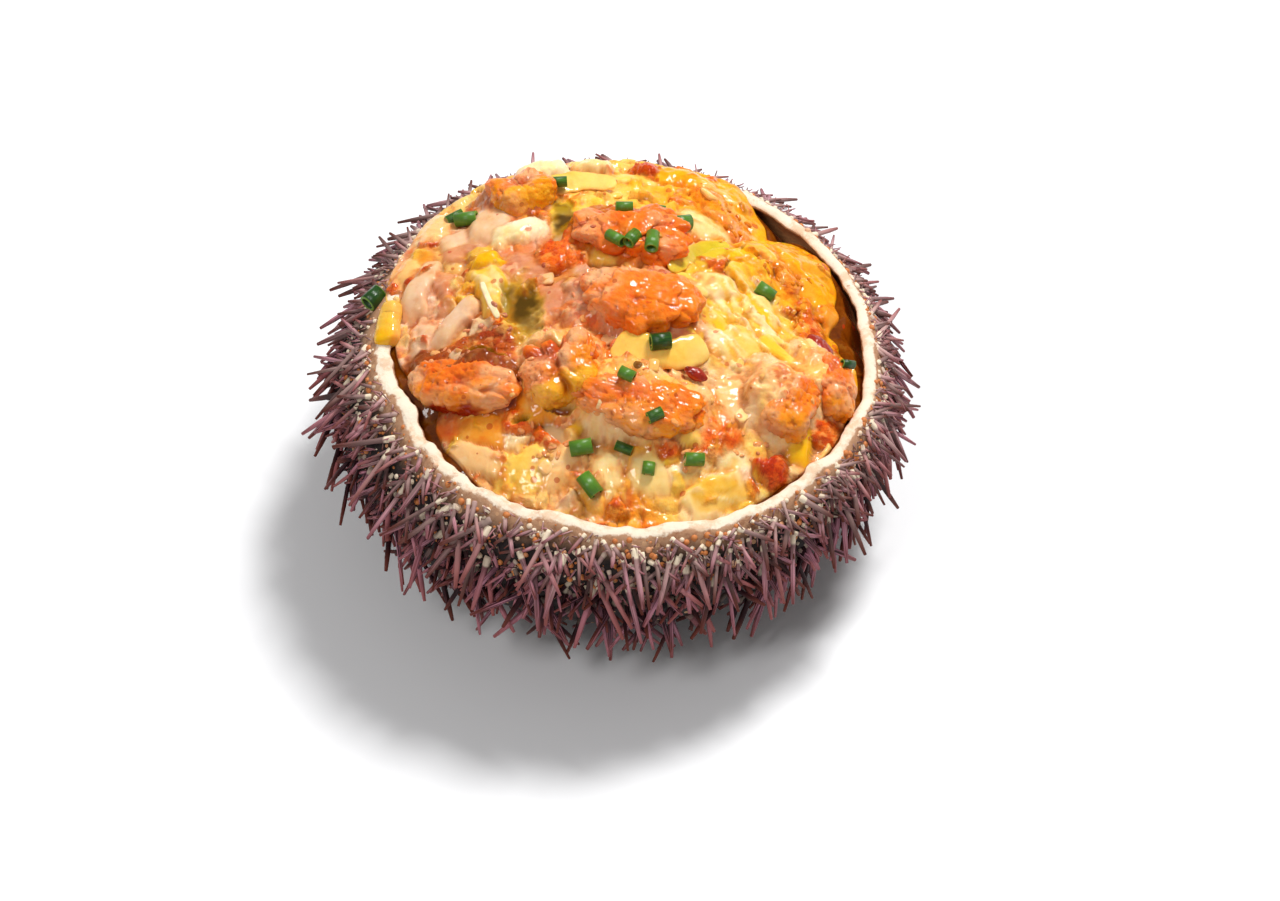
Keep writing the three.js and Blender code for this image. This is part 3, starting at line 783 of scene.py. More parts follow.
def new_group(kind, name, inputs, outputs):
    """An empty node group with named sockets, and its input and output nodes."""
    tree = bpy.data.node_groups.new(name, kind)
    for way, sockets in (("INPUT", inputs), ("OUTPUT", outputs)):
        for label, socket in sockets.items():
            tree.interface.new_socket(label, in_out=way, socket_type="NodeSocket" + socket)
    return tree, put(tree, "NodeGroupInput"), put(tree, "NodeGroupOutput")


def mottle_group(name):
    """Drifts a colour lighter and darker in soft patches."""
    inputs = {"Colour": "Color", "Scale": "Float", "Light": "Float", "Dark": "Float"}
    tree, start, end = new_group("ShaderNodeTree", name, inputs, {"Colour": "Color"})
    given = start.outputs
    patch = noise(tree, place_of(tree), given["Scale"], 4.0, 0.6)
    up = times(tree, spread(tree, patch, 0.5, 0.75), given["Light"])
    down = times(tree, spread(tree, patch, 0.5, 0.25), given["Dark"])
    lifted = put(tree, "ShaderNodeGamma", {"Color": given["Colour"], "Gamma": 0.6})
    paler = mix_colours(tree, up, given["Colour"], lifted.outputs["Color"])
    feed(tree, end, {"Colour": mix_colours(tree, down, paler, given["Colour"], "MULTIPLY")})
    return tree


def flecks_group(name):
    """Small scattered specks as a mask."""
    inputs = {"Scale": "Float", "Size": "Float", "Share": "Float"}
    tree, start, end = new_group("ShaderNodeTree", name, inputs, {"Mask": "Float"})
    given = start.outputs
    sources = {"Vector": place_of(tree), "Scale": given["Scale"]}
    cells = put(tree, "ShaderNodeTexVoronoi", sources, feature="F1")
    chance = put(tree, "ShaderNodeSeparateColor", {"Color": cells.outputs["Color"]})
    chosen = reckon(tree, "LESS_THAN", chance.outputs["Red"], given["Share"])
    reach = times(tree, given["Size"], chance.outputs["Green"])
    inside = reckon(tree, "LESS_THAN", cells.outputs["Distance"], reach)
    feed(tree, end, {"Mask": times(tree, chosen, inside)})
    return tree


def use_group(tree, name, build, **sources):
    """The output of a shader group, which is built when it is first used."""
    group = bpy.data.node_groups.get(name) or build(name)
    return put(tree, "ShaderNodeGroup", sources, node_tree=group).outputs[0]


def mottled(tree, colour, scale, light, dark):
    return use_group(tree, "Mottle", mottle_group, Colour=colour, Scale=scale, Light=light, Dark=dark)


def flecks(tree, scale, size, share):
    return use_group(tree, "Flecks", flecks_group, Scale=scale, Size=size, Share=share)


def uneven_gloss(tree, scale, least, extra):
    """Roughness that drifts over the surface."""
    drift = times(tree, noise(tree, place_of(tree), scale), extra)
    return reckon(tree, "ADD", drift, least)


def stretched(tree, vector, share):
    """A vector squeezed along its last axis, so that a pattern on it runs lengthwise."""
    return vector_reckon(tree, "MULTIPLY", vector, (1.0, 1.0, share))


def give_finish(tree, shader, colour, roughness, height, strength, depth):
    """Colour, roughness and a bump of the given height for a shader."""
    bump = put(tree, "ShaderNodeBump", {"Height": height, "Strength": strength, "Distance": depth})
    feed(tree, shader, {"Base Color": colour, "Roughness": roughness, "Normal": bump.outputs["Normal"]})


def new_material(name):
    material = bpy.data.materials.new(name)
    material.use_nodes = True
    tree = material.node_tree
    return material, tree, tree.nodes["Principled BSDF"]


SAUCE_GLOW = (1.0, 0.45, 0.15)
SLICE_GLOW = (1.0, 0.5, 0.18)
ROE_GLOW = (1.0, 0.3, 0.1)
LEAF_GLOW = (0.4, 1.0, 0.2)


def make_soft(shader, weight, scale, radius):
    """Lets light into the surface, as food does."""
    shader.inputs["Subsurface Weight"].default_value = weight
    shader.inputs["Subsurface Scale"].default_value = scale
    shader.inputs["Subsurface Radius"].default_value = radius


def make_wet(shader):
    """A thin film of oil: crisp glints and little haze."""
    shader.inputs["Specular IOR Level"].default_value = 0.04
    shader.inputs["Coat Weight"].default_value = 0.55
    shader.inputs["Coat Roughness"].default_value = 0.05


# Materials

def chalky_shell():
    """Dark skin with painted shade between the spines, sandy under the rim, chalk with browned patches on
    the cut, and a warm inner wall.
    """
    look = shell()
    material, tree, shader = new_material("Chalky bowl")
    place = place_of(tree)
    under = mix_colours(tree, own(tree, "under_rim"), look.skin, look.sand)
    skin = mottled(tree, under, 900.0, light=0.3, dark=0.9)
    skin = tinted(tree, skin, flecks(tree, 1100.0, size=0.5, share=0.3), 0.7, look.toast)
    chalk = mottled(tree, look.chalk, 500.0, light=0.2, dark=0.3)
    browned = spread(tree, noise(tree, place, 320.0, 6.0, 0.7), 0.47, 0.62)
    chalk = tinted(tree, chalk, browned, 0.6, look.toast)
    wear = reckon(tree, "SUBTRACT", noise(tree, place, 480.0, 5.0, 0.65), 0.5)
    ragged = reckon(tree, "ADD", own(tree, "cut"), times(tree, wear, 1.4))
    colour = mix_colours(tree, spread(tree, ragged, 0.6, 0.85), skin, chalk)
    inner = mottled(tree, look.inside, 260.0, light=0.2, dark=0.5)
    colour = mix_colours(tree, own(tree, "inside"), colour, inner)
    grit = noise(tree, place, 1800.0, 6.0, 0.7)
    give_finish(tree, shader, colour, 0.75, grit, 0.6, 0.0003)
    return material


def mauve_spine():
    """Streaks from plum to mauve, painted shade at each foot and on the low spines, a brown tip and a pale
    collar.
    """
    look = bpy.context.scene.urchin_spines
    material, tree, shader = new_material("Mauve spine")
    tone = own(tree, "tone")
    along = own(tree, "along")
    local = stretched(tree, own(tree, "local", "Vector"), 0.25)
    streak = noise(tree, vector_reckon(tree, "ADD", local, times(tree, tone, 37.0)), 3.6, 2.0)
    shade = reckon(tree, "ADD", times(tree, streak, 0.9), times(tree, tone, 0.55))
    colour = mix_colours(tree, spread(tree, shade, 0.62, 0.96), look.plum, look.mauve)
    colour = tinted(tree, colour, spread(tree, tone, 0.72, 0.95), 0.7, look.umber)
    # Painted shade: the foot of each spine and the low spines darken to plum.
    foot_and_low_shade = reckon(tree, "MAXIMUM", spread(tree, along, 0.5, 0.1), own(tree, "gloom"))
    colour = tinted(tree, colour, foot_and_low_shade, 0.75, look.plum)
    colour = tinted(tree, colour, spread(tree, along, 0.45, 1.0), 0.5, look.umber)
    colour = tinted(tree, colour, own(tree, "paleness"), spread(tree, along, 1.1, 0.2), look.ash)
    colour = tinted(tree, colour, spread(tree, along, 0.2, 0.15), own(tree, "collar"), look.collar)
    shader.inputs["Specular IOR Level"].default_value = 0.08
    give_finish(tree, shader, colour, 0.5, streak, 0.35, 0.0002)
    return material


def spine_bead():
    """Orange-brown knobs, some of them pale."""
    look = bpy.context.scene.urchin_spines
    material, tree, shader = new_material("Spine bead")
    colour = mix_colours(tree, spread(tree, own(tree, "tone"), 0.65, 0.95), look.bead, look.collar)
    colour = mottled(tree, colour, 1500.0, light=0.2, dark=0.5)
    give_finish(tree, shader, colour, 0.6, noise(tree, place_of(tree), 2500.0), 0.3, 0.0001)
    return material


def baked_sauce():
    """The filling's own tint with toasted and green flecks, clear and glossy where oil lies."""
    look = bpy.context.scene.urchin_filling
    material, tree, shader = new_material("Baked sauce")
    place = place_of(tree)
    oil = own(tree, "oil")
    colour = mottled(tree, own(tree, "tint", "Color"), 520.0, light=0.55, dark=0.5)
    colour = tinted(tree, colour, flecks(tree, 700.0, size=0.36, share=0.18), 0.6, look.rust)
    colour = tinted(tree, colour, flecks(tree, 330.0, size=0.22, share=0.06), 0.8, look.olive)
    colour = mix_colours(tree, oil, colour, own(tree, "tint", "Color"))
    dull = reckon(tree, "SUBTRACT", 1.0, times(tree, oil, 0.8))
    gloss = times(tree, uneven_gloss(tree, 600.0, least=0.14, extra=0.25), dull)
    make_soft(shader, 0.25, 0.0006, SAUCE_GLOW)
    make_wet(shader)
    ripple = times(tree, noise(tree, place, 1100.0, 4.0, 0.6), own(tree, "rough"))
    crumb = times(tree, noise(tree, place, 2600.0, 2.0), own(tree, "grain"))
    height = reckon(tree, "ADD", times(tree, ripple, 0.9), crumb)
    give_finish(tree, shader, colour, gloss, height, 0.6, 0.0004)
    return material


def soft_slice():
    """A slice with its own tint, veils of cream, stains of sauce and a wet skin."""
    look = bpy.context.scene.urchin_filling
    material, tree, shader = new_material("Soft slice")
    place = place_of(tree)
    colour = mottled(tree, own(tree, "tint", "Color"), 420.0, light=0.3, dark=0.4)
    veil = spread(tree, noise(tree, place, 160.0, 2.0, 0.5), 0.38, 0.66)
    colour = tinted(tree, colour, veil, 0.35, look.cream)
    stain = spread(tree, noise(tree, place, 260.0, 3.0, 0.5), 0.55, 0.75)
    colour = tinted(tree, colour, stain, 0.4, look.apricot)
    make_soft(shader, 0.35, 0.0012, SLICE_GLOW)
    make_wet(shader)
    gloss = uneven_gloss(tree, 600.0, least=0.14, extra=0.2)
    give_finish(tree, shader, colour, gloss, noise(tree, place, 900.0, 4.0), 0.15, 0.0004)
    return material


def orange_roe():
    """Granular to smooth orange, with golden patches, smooth flanks, clinging sauce, toasted edges and
    painted shade in the crevices.
    """
    look = bpy.context.scene.urchin_roe
    material, tree, shader = new_material("Orange roe")
    place = place_of(tree)
    colour = mix_colours(tree, own(tree, "smooth"), look.grain, look.flame)
    colour = mix_colours(tree, own(tree, "gilding"), colour, look.amber)
    colour = mix_colours(tree, own(tree, "flank"), colour, look.flesh)
    colour = mottled(tree, colour, 620.0, light=0.3, dark=0.5)
    veil = spread(tree, noise(tree, place, 280.0, 5.0), 0.35, 0.6)
    colour = tinted(tree, colour, own(tree, "film"), veil, look.film)
    speck = times(tree, flecks(tree, 900.0, size=0.4, share=0.14), 0.5)
    char = reckon(tree, "MAXIMUM", own(tree, "char"), speck)
    # Painted shade: crevices between grains and folds take the char colour.
    char = reckon(tree, "MAXIMUM", char, times(tree, own(tree, "crevice"), 0.65))
    colour = mix_colours(tree, char, colour, look.char)
    make_soft(shader, 0.25, 0.0008, ROE_GLOW)
    make_wet(shader)
    gloss = uneven_gloss(tree, 900.0, least=0.18, extra=0.25)
    give_finish(tree, shader, colour, gloss, noise(tree, place, 2200.0, 4.0, 0.65), 0.5, 0.0004)
    return material


def toasted_bit():
    """Dark red-brown skin with a thin gloss."""
    look = bpy.context.scene.urchin_roe
    material, tree, shader = new_material("Toasted bit")
    colour = mottled(tree, look.char, 700.0, light=0.3, dark=0.9)
    shader.inputs["Coat Weight"].default_value = 0.3
    make_soft(shader, 0.15, 0.0008, ROE_GLOW)
    give_finish(tree, shader, colour, 0.22, noise(tree, place_of(tree), 1200.0, 4.0), 0.4, 0.0004)
    return material


def chive_green():
    """Fine veins along each chive, with a paler cut at both ends."""
    look = bpy.context.scene.urchin_chives
    material, tree, shader = new_material("Chive green")
    local = own(tree, "local", "Vector")
    vein = noise(tree, stretched(tree, local, 0.12), 9.0, 2.0)
    shade = reckon(tree, "ADD", vein, own(tree, "tone"))
    leaf = mix_colours(tree, spread(tree, shade, 0.7, 1.3), look.leaf, look.shade)
    end = reckon(tree, "ABSOLUTE", put(tree, "ShaderNodeSeparateXYZ", {0: local}).outputs["Z"])
    colour = mix_colours(tree, spread(tree, end, 0.46, 0.5), leaf, look.cut)
    make_soft(shader, 0.12, 0.0006, LEAF_GLOW)
    give_finish(tree, shader, colour, 0.3, vein, 0.3, 0.0002)
    return material


def pale_floor():
    look = bpy.context.scene.urchin_stage
    material, tree, shader = new_material("Pale floor")
    colour = mottled(tree, look.floor, 6.0, light=0.02, dark=0.02)
    feed(tree, shader, {"Base Color": colour, "Roughness": 0.6})
    return material


# Geometry Nodes: fields of spines, beads, bits and chives

def field_tree(name):
    """A node tree with a geometry in and out and a material input."""
    inputs = {"Geometry": "Geometry", "Material": "Material"}
    return new_group("GeometryNodeTree", name, inputs, {"Geometry": "Geometry"})


def named_input(tree, name, default):
    kind = "NodeSocketInt" if isinstance(default, int) else "NodeSocketFloat"
    tree.interface.new_socket(name, in_out="INPUT", socket_type=kind).default_value = default


def read_named(tree, name):
    node = put(tree, "GeometryNodeInputNamedAttribute", {"Name": name}, data_type="FLOAT_VECTOR")
    return node.outputs["Attribute"]


def keep_named(tree, geometry, name, kind, value):
    sources = {"Geometry": geometry, "Name": name, "Value": value}
    node = put(tree, "GeometryNodeStoreNamedAttribute", sources, data_type=kind, domain="POINT")
    return node.outputs["Geometry"]


def plant(tree, start, end, unit, ruffle=None):
    """Stands the unit shape on every point, aimed, turned and sized by the point's own attributes."""
    align = "FunctionNodeAlignRotationToVector"
    stood = put(tree, align, {"Vector": read_named(tree, "aim")}, axis="Z")
    sources = {"Rotation": stood.outputs["Rotation"], "Vector": read_named(tree, "heading")}
    turned = put(tree, align, sources, axis="X", pivot_axis="Z")
    stand = put(tree, "GeometryNodeInstanceOnPoints", {
        "Points": start.outputs["Geometry"],
        "Instance": unit,
        "Rotation": turned.outputs["Rotation"],
        "Scale": read_named(tree, "measure"),
    })
    real = put(tree, "GeometryNodeRealizeInstances", {"Geometry": stand.outputs["Instances"]})
    grown = real.outputs["Geometry"]
    smooth = put(tree, "GeometryNodeSetShadeSmooth", {0: ruffle(grown) if ruffle else grown})
    sources = {"Geometry": smooth.outputs[0], "Material": start.outputs["Material"]}
    dress = put(tree, "GeometryNodeSetMaterial", sources)
    feed(tree, end, {"Geometry": dress.outputs["Geometry"]})


def spine_tree():
    tree, start, end = field_tree("Spine field")
    named_input(tree, "Sides", 7)
    named_input(tree, "Rings", 6)
    named_input(tree, "Base crowding", 1.8)
    given = start.outputs
    sources = {"Vertices": given["Sides"], "Side Segments": given["Rings"], "Radius": 1.0, "Depth": 1.0}
    rod = put(tree, "GeometryNodeMeshCylinder", sources, fill_type="TRIANGLE_FAN")
    place = put(tree, "GeometryNodeInputPosition").outputs[0]
    split = put(tree, "ShaderNodeSeparateXYZ", {0: place}).outputs
    raised = reckon(tree, "ADD", split["Z"], 0.5, clamp=True)
    along = reckon(tree, "POWER", raised, given["Base crowding"])
    taper = put(tree, "ShaderNodeFloatCurve", {"Value": along})
    curve = taper.mapping.curves[0]
    while len(curve.points) < len(SPINE_PROFILE):
        curve.points.new(0.5, 0.5)
    for point, spot in zip(curve.points, SPINE_PROFILE):
        point.location = spot
    taper.mapping.update()
    wide = {axis: times(tree, split[axis], taper.outputs[0]) for axis in "XY"}
    shaped = put(tree, "ShaderNodeCombineXYZ", {**wide, "Z": along})
    marked = keep_named(tree, rod.outputs["Mesh"], "along", "FLOAT", along)
    move = put(tree, "GeometryNodeSetPosition", {"Geometry": marked, "Position": shaped.outputs[0]})
    plant(tree, start, end, keep_named(tree, move.outputs["Geometry"], "local", "FLOAT_VECTOR", place))
    return tree


def globe(tree, start, segments, rings):
    """A ball of radius 1 whose segments and rings are inputs of the tree."""
    named_input(tree, "Segments", segments)
    named_input(tree, "Rings", rings)
    sources = {name: start.outputs[name] for name in ("Segments", "Rings")}
    return put(tree, "GeometryNodeMeshUVSphere", sources).outputs["Mesh"]


def bead_tree():
    tree, start, end = field_tree("Bead field")
    plant(tree, start, end, globe(tree, start, 8, 5))
    return tree


def bit_tree():
    tree, start, end = field_tree("Bit field")
    rounded = globe(tree, start, 9, 6)
    named_input(tree, "Roundness", 0.6)
    named_input(tree, "Ruffle", 0.0005)
    named_input(tree, "Ruffle scale", 700.0)
    given = start.outputs
    place = put(tree, "GeometryNodeInputPosition").outputs[0]
    split = put(tree, "ShaderNodeSeparateXYZ", {0: place}).outputs
    squared = {}
    for axis in "XYZ":
        side = reckon(tree, "SIGN", split[axis])
        away = reckon(tree, "ABSOLUTE", split[axis])
        squared[axis] = times(tree, reckon(tree, "POWER", away, given["Roundness"]), side)
    boxy = put(tree, "ShaderNodeCombineXYZ", squared).outputs[0]
    unit = put(tree, "GeometryNodeSetPosition", {"Geometry": rounded, "Position": boxy})

    def ruffle(geometry):
        """Moves the points of the grown bits by noise, so that no two are alike."""
        swirl = put(tree, "ShaderNodeTexNoise", {"Scale": given["Ruffle scale"]})
        centred = vector_reckon(tree, "SUBTRACT", swirl.outputs["Color"], (0.5, 0.5, 0.5))
        sources = {0: centred, "Scale": given["Ruffle"]}
        sized = put(tree, "ShaderNodeVectorMath", sources, operation="SCALE")
        move = put(tree, "GeometryNodeSetPosition", {"Geometry": geometry, "Offset": sized.outputs[0]})
        return move.outputs["Geometry"]

    plant(tree, start, end, unit.outputs["Geometry"], ruffle)
    return tree


def chive_tree():
    tree, start, end = field_tree("Chive field")
    named_input(tree, "Sides", 14)
    named_input(tree, "Wall share", 0.3)
    given = start.outputs
    middle = reckon(tree, "SUBTRACT", 1.0, times(tree, given["Wall share"], 0.5))
    loop = put(tree, "GeometryNodeCurvePrimitiveCircle", {"Resolution": given["Sides"], "Radius": middle})
    sources = {"Width": given["Wall share"], "Height": 1.0}
    wall = put(tree, "GeometryNodeCurvePrimitiveQuadrilateral", sources)
    sources = {"Curve": loop.outputs["Curve"], "Profile Curve": wall.outputs["Curve"]}
    tube = put(tree, "GeometryNodeCurveToMesh", sources)
    place = put(tree, "GeometryNodeInputPosition").outputs[0]
    plant(tree, start, end, keep_named(tree, tube.outputs["Mesh"], "local", "FLOAT_VECTOR", place))
    return tree


def set_input(modifier, name, value):
    for item in modifier.node_group.interface.items_tree:
        if item.item_type == "SOCKET" and item.in_out == "INPUT" and item.name == name:
            modifier[item.identifier] = value
            return
    raise KeyError(name)


def grow_field(name, tree, material, points, vectors, values, **inputs):
    """Runs a field tree over points in millimetres and keeps the result as a plain mesh."""
    mesh = bpy.data.meshes.new(name + "_points")
    mesh.from_pydata((points * MM).tolist(), [], [])
    write_values(mesh, vectors, "FLOAT_VECTOR", "vector")
    write_values(mesh, values)
    piece = bpy.data.objects.new(name, mesh)
    bpy.context.scene.collection.objects.link(piece)
    modifier = piece.modifiers.new("Field", "NODES")
    modifier.node_group = tree
    set_input(modifier, "Material", material)
    for label, value in inputs.items():
        set_input(modifier, label, value)
    graph = bpy.context.evaluated_depsgraph_get()
    grown = bpy.data.meshes.new_from_object(
        piece.evaluated_get(graph), preserve_all_data_layers=True, depsgraph=graph)
    piece.modifiers.clear()
    piece.data = grown
    grown.name = name
    bpy.data.meshes.remove(mesh)
    return piece


# Spines: places and directions

def spine_points(count, first, below_rim, lowest, reach, outward, droop, stray):
    """Bases, directions, lengths and marks of a set of spines, by the rule that the solids follow."""
    index = np.arange(count) + first
    angle = index * GOLDEN_ANGLE + SPINE_SHIFT * (draw(index, 1) - 0.5)
    share = (np.arange(count) + 0.5) / count
    top = rim_height(angle) - below_rim
    z = top + (lowest - top) * share
    latitude = spheroid_latitude(z, 0)
    radius = spheroid_radius(z, 0)
    flat = np.column_stack((np.cos(angle), np.sin(angle), np.zeros(count)))
    normal = flat * (shell().half_height * np.cos(latitude))[:, None]
    normal[:, 2] = shell().radius * np.sin(latitude)
    normal /= np.linalg.norm(normal, axis=1)[:, None]
    around = np.column_stack((-flat[:, 1], flat[:, 0], np.zeros(count)))
    down = np.cross(around, normal)
    length = reach[0] + (reach[1] - reach[0]) * draw(index, 2)
    lean = droop + stray * (draw(index, 3) - 0.5)
    sway = 2 * stray * (draw(index, 4) - 0.5)
    aim = outward * normal + lean[:, None] * down + sway[:, None] * around
    aim /= np.linalg.norm(aim, axis=1)[:, None]
    raise_tips(aim, z, length)
    base = np.column_stack((radius * flat[:, 0], radius * flat[:, 1], z))
    below = rim_height(angle) - z
    marks = {
        "tone": draw(index, 5),
        "paleness": np.clip(1.3 - below / PALE_BAND, 0, 1) * (0.35 + 0.65 * draw(index, 6)),
        "collar": np.clip(1.6 - below / COLLAR_BAND, 0.1, 1) * ease(draw(index, 9), 0.05, 0.4),
        # The low spines take a painted shade.
        "gloom": ease(z, LOW_SHADE_FROM, LOW_SHADE_FULL),
    }
    return base, aim, length, marks


def raise_tips(aim, z, length):
    """Turns up the spines whose tips would come too near the floor."""
    clear = (TIP_CLEARANCE - z) / length
    low = aim[:, 2] < clear
    level = np.hypot(aim[:, 0], aim[:, 1])
    keep = np.sqrt(np.clip(1 - clear ** 2, 0, 1)) / level
    aim[low, :2] *= keep[low, None]
    aim[low, 2] = clear[low]


def grow_spines(name, sets, girth, material, **inputs):
    """One or more sets of spines as one piece, with their roots sunk in the shell."""
    grown = [spine_points(**spec) for spec in sets]
    base, aim, length = (np.concatenate([part[column] for part in grown]) for column in range(3))
    marks = {key: np.concatenate([part[3][key] for part in grown]) for key in grown[0][3]}
    base = base - aim * SPINE_ROOT
    thick = girth * (GIRTH_LEAST + GIRTH_EXTRA * draw(np.arange(len(length)), 8)) / SHAFT_WIDTH
    measure = np.column_stack((thick, thick, length + SPINE_ROOT)) * MM
    tree = bpy.data.node_groups.get("Spine field") or spine_tree()
    return grow_field(name, tree, material, base, {"aim": aim, "measure": measure}, marks, **inputs)


# Operators: one for each piece or group of like pieces

class URCHIN_OT_shell(bpy.types.Operator):
    """Make the chalky bowl of the shell with its uneven cut edge"""
    bl_idname = "urchin.shell"
    bl_label = "Shell"

    columns = 420
    outer_rows = 52
    outer_crowding = 0.7
    rim_rows = 7
    inner_rows = 22
    edge_circle = 32.0
    highest_chip = 0.2
    bevel = 0.12
    crown = 0.22
    inward_fall = 0.15
    lip_depth = 0.3
    chalk_outside = 0.75
    chalk_reach = (0.65, 0.3)
    sand_reach = (3.0, 0.3)
    inside_reach = (0.2, 1.2)
    cut_fade = (-0.7, 0.3)
    still_foot = 0.6

    # Noises: height, pitch, seed and layers
    chips = ((0.40, 3.8, 5, 3), (0.08, 0.9, 9, 1))
    outer_wear = ((0.05, 0.9, 15, 1),)
    inner_wear = ((0.24, 4.5, 21, 3), (0.04, 0.9, 27, 1))
    grit = ((0.12, 1.4, 31, 3),)
    pore_height, pore_pitch, pore_seed = 0.10, 1.3, 41

    def execute(self, context):
        rings, marks = self.rings()
        flat = self.gritty(rings.reshape(-1, 3))
        points, faces = ringed_mesh(flat.reshape(rings.shape))
        values = {key: np.append(np.ravel(mark), (0.0, 0.0)) for key, mark in marks.items()}
        piece = piece_from("bowl", points, faces, chalky_shell(), values)
        settle(piece, "shell", "shell")
        return {"FINISHED"}

    def rings(self):
        """Rings up the outside, over the cut edge and down the inside, with marks for the finishes."""
        angle = np.linspace(0, 2 * np.pi, self.columns, endpoint=False)
        zero = np.zeros_like(angle)
        rows, marks = [], {"cut": [], "inside": [], "under_rim": []}

        def add(radius, z, cut, inside, under):
            rows.append(np.column_stack((radius * np.cos(angle), radius * np.sin(angle), z + zero)))
            for key, mark in zip(marks, (cut, inside, under)):
                marks[key].append(mark + zero)

        wall = shell().wall / MM
        edge = np.column_stack((np.cos(angle), np.sin(angle), zero)) * self.edge_circle
        top = rim_height(angle) + np.minimum(ripples(edge, self.chips), self.highest_chip)
        chalk_out, chalk_in = self.chalk_reach
        foot = spheroid_latitude(0.0, 0)
        for step in np.linspace(0, 1, self.outer_rows):
            latitude = foot + (spheroid_latitude(top, 0) - foot) * step ** self.outer_crowding
            outer, z = spheroid_point(latitude, 0)
            cut = self.chalk_outside * np.exp((z - top) / chalk_out)
            add(outer, z, cut, 0, ease(top - z, *self.sand_reach))
        outer = outer - self.bevel + ripples(edge, self.outer_wear)
        inner = spheroid_radius(top, wall) + ripples(edge, self.inner_wear)
        for step in np.linspace(0, 1, self.rim_rows + 2)[1:-1]:
            crown = self.crown * math.sin(math.pi * step) - self.inward_fall * step
            add(outer + (inner - outer) * step, top + crown, ease(step, *self.cut_fade), 0, 1)
        latitude = spheroid_latitude(top - self.lip_depth, wall)
        for step in np.linspace(0, 1, self.inner_rows):
            radius, z = spheroid_point(latitude + (-np.pi / 2 - latitude) * step, wall)
            inside = ease(top - z, *self.inside_reach)
            add(radius if step else inner, z, np.exp((z - top) / chalk_in), inside, 1)
        return np.array(rows), marks

    def gritty(self, points):
        """Points moved in and out by grit and pores, apart from the foot that the shell rests on."""
        pores = grain_noise(points, self.pore_pitch, self.pore_seed)[0]
        rough = ripples(points, self.grit) + self.pore_height * pores
        away = points - np.array((0, 0, shell_centre()))
        away /= np.linalg.norm(away, axis=1)[:, None]
        return points + away * np.where(points[:, 2] < self.still_foot, 0, rough)[:, None]


class URCHIN_OT_spines(bpy.types.Operator):
    """Grow the long, short and fine spines and the beads that they stand on"""
    bl_idname = "urchin.spines"
    bl_label = "Spines"

    bead_flatness = 0.9

    def execute(self, context):
        look = context.scene.urchin_spines
        girth = look.girth / MM
        material = mauve_spine()
        main = dict(MAIN_SPINES, reach=(look.shortest / MM, look.longest / MM))
        pieces = [
            grow_spines("spines_long", (main, SPINES_BETWEEN), girth, material),
            grow_spines("spines_short", (SHORT_SPINES,), girth * SHORT_GIRTH, material, Sides=6, Rings=5),
            grow_spines("spines_fine", (FINE_SPINES,), girth * FINE_GIRTH, material, Sides=5, Rings=4),
            self.beads(),
        ]
        for piece in pieces:
            settle(piece, "shell")
        return {"FINISHED"}

    def beads(self):
        base, aim, _, marks = spine_points(**BEAD_BAND)
        smallest, largest = BEAD_RADIUS
        size = smallest + (largest - smallest) * draw(np.arange(len(base)), 7) ** 2
        measure = np.column_stack((size, size, size * self.bead_flatness)) * MM
        vectors = {"aim": aim, "measure": measure}
        return grow_field("spine_beads", bead_tree(), spine_bead(), base, vectors, {"tone": marks["tone"]})


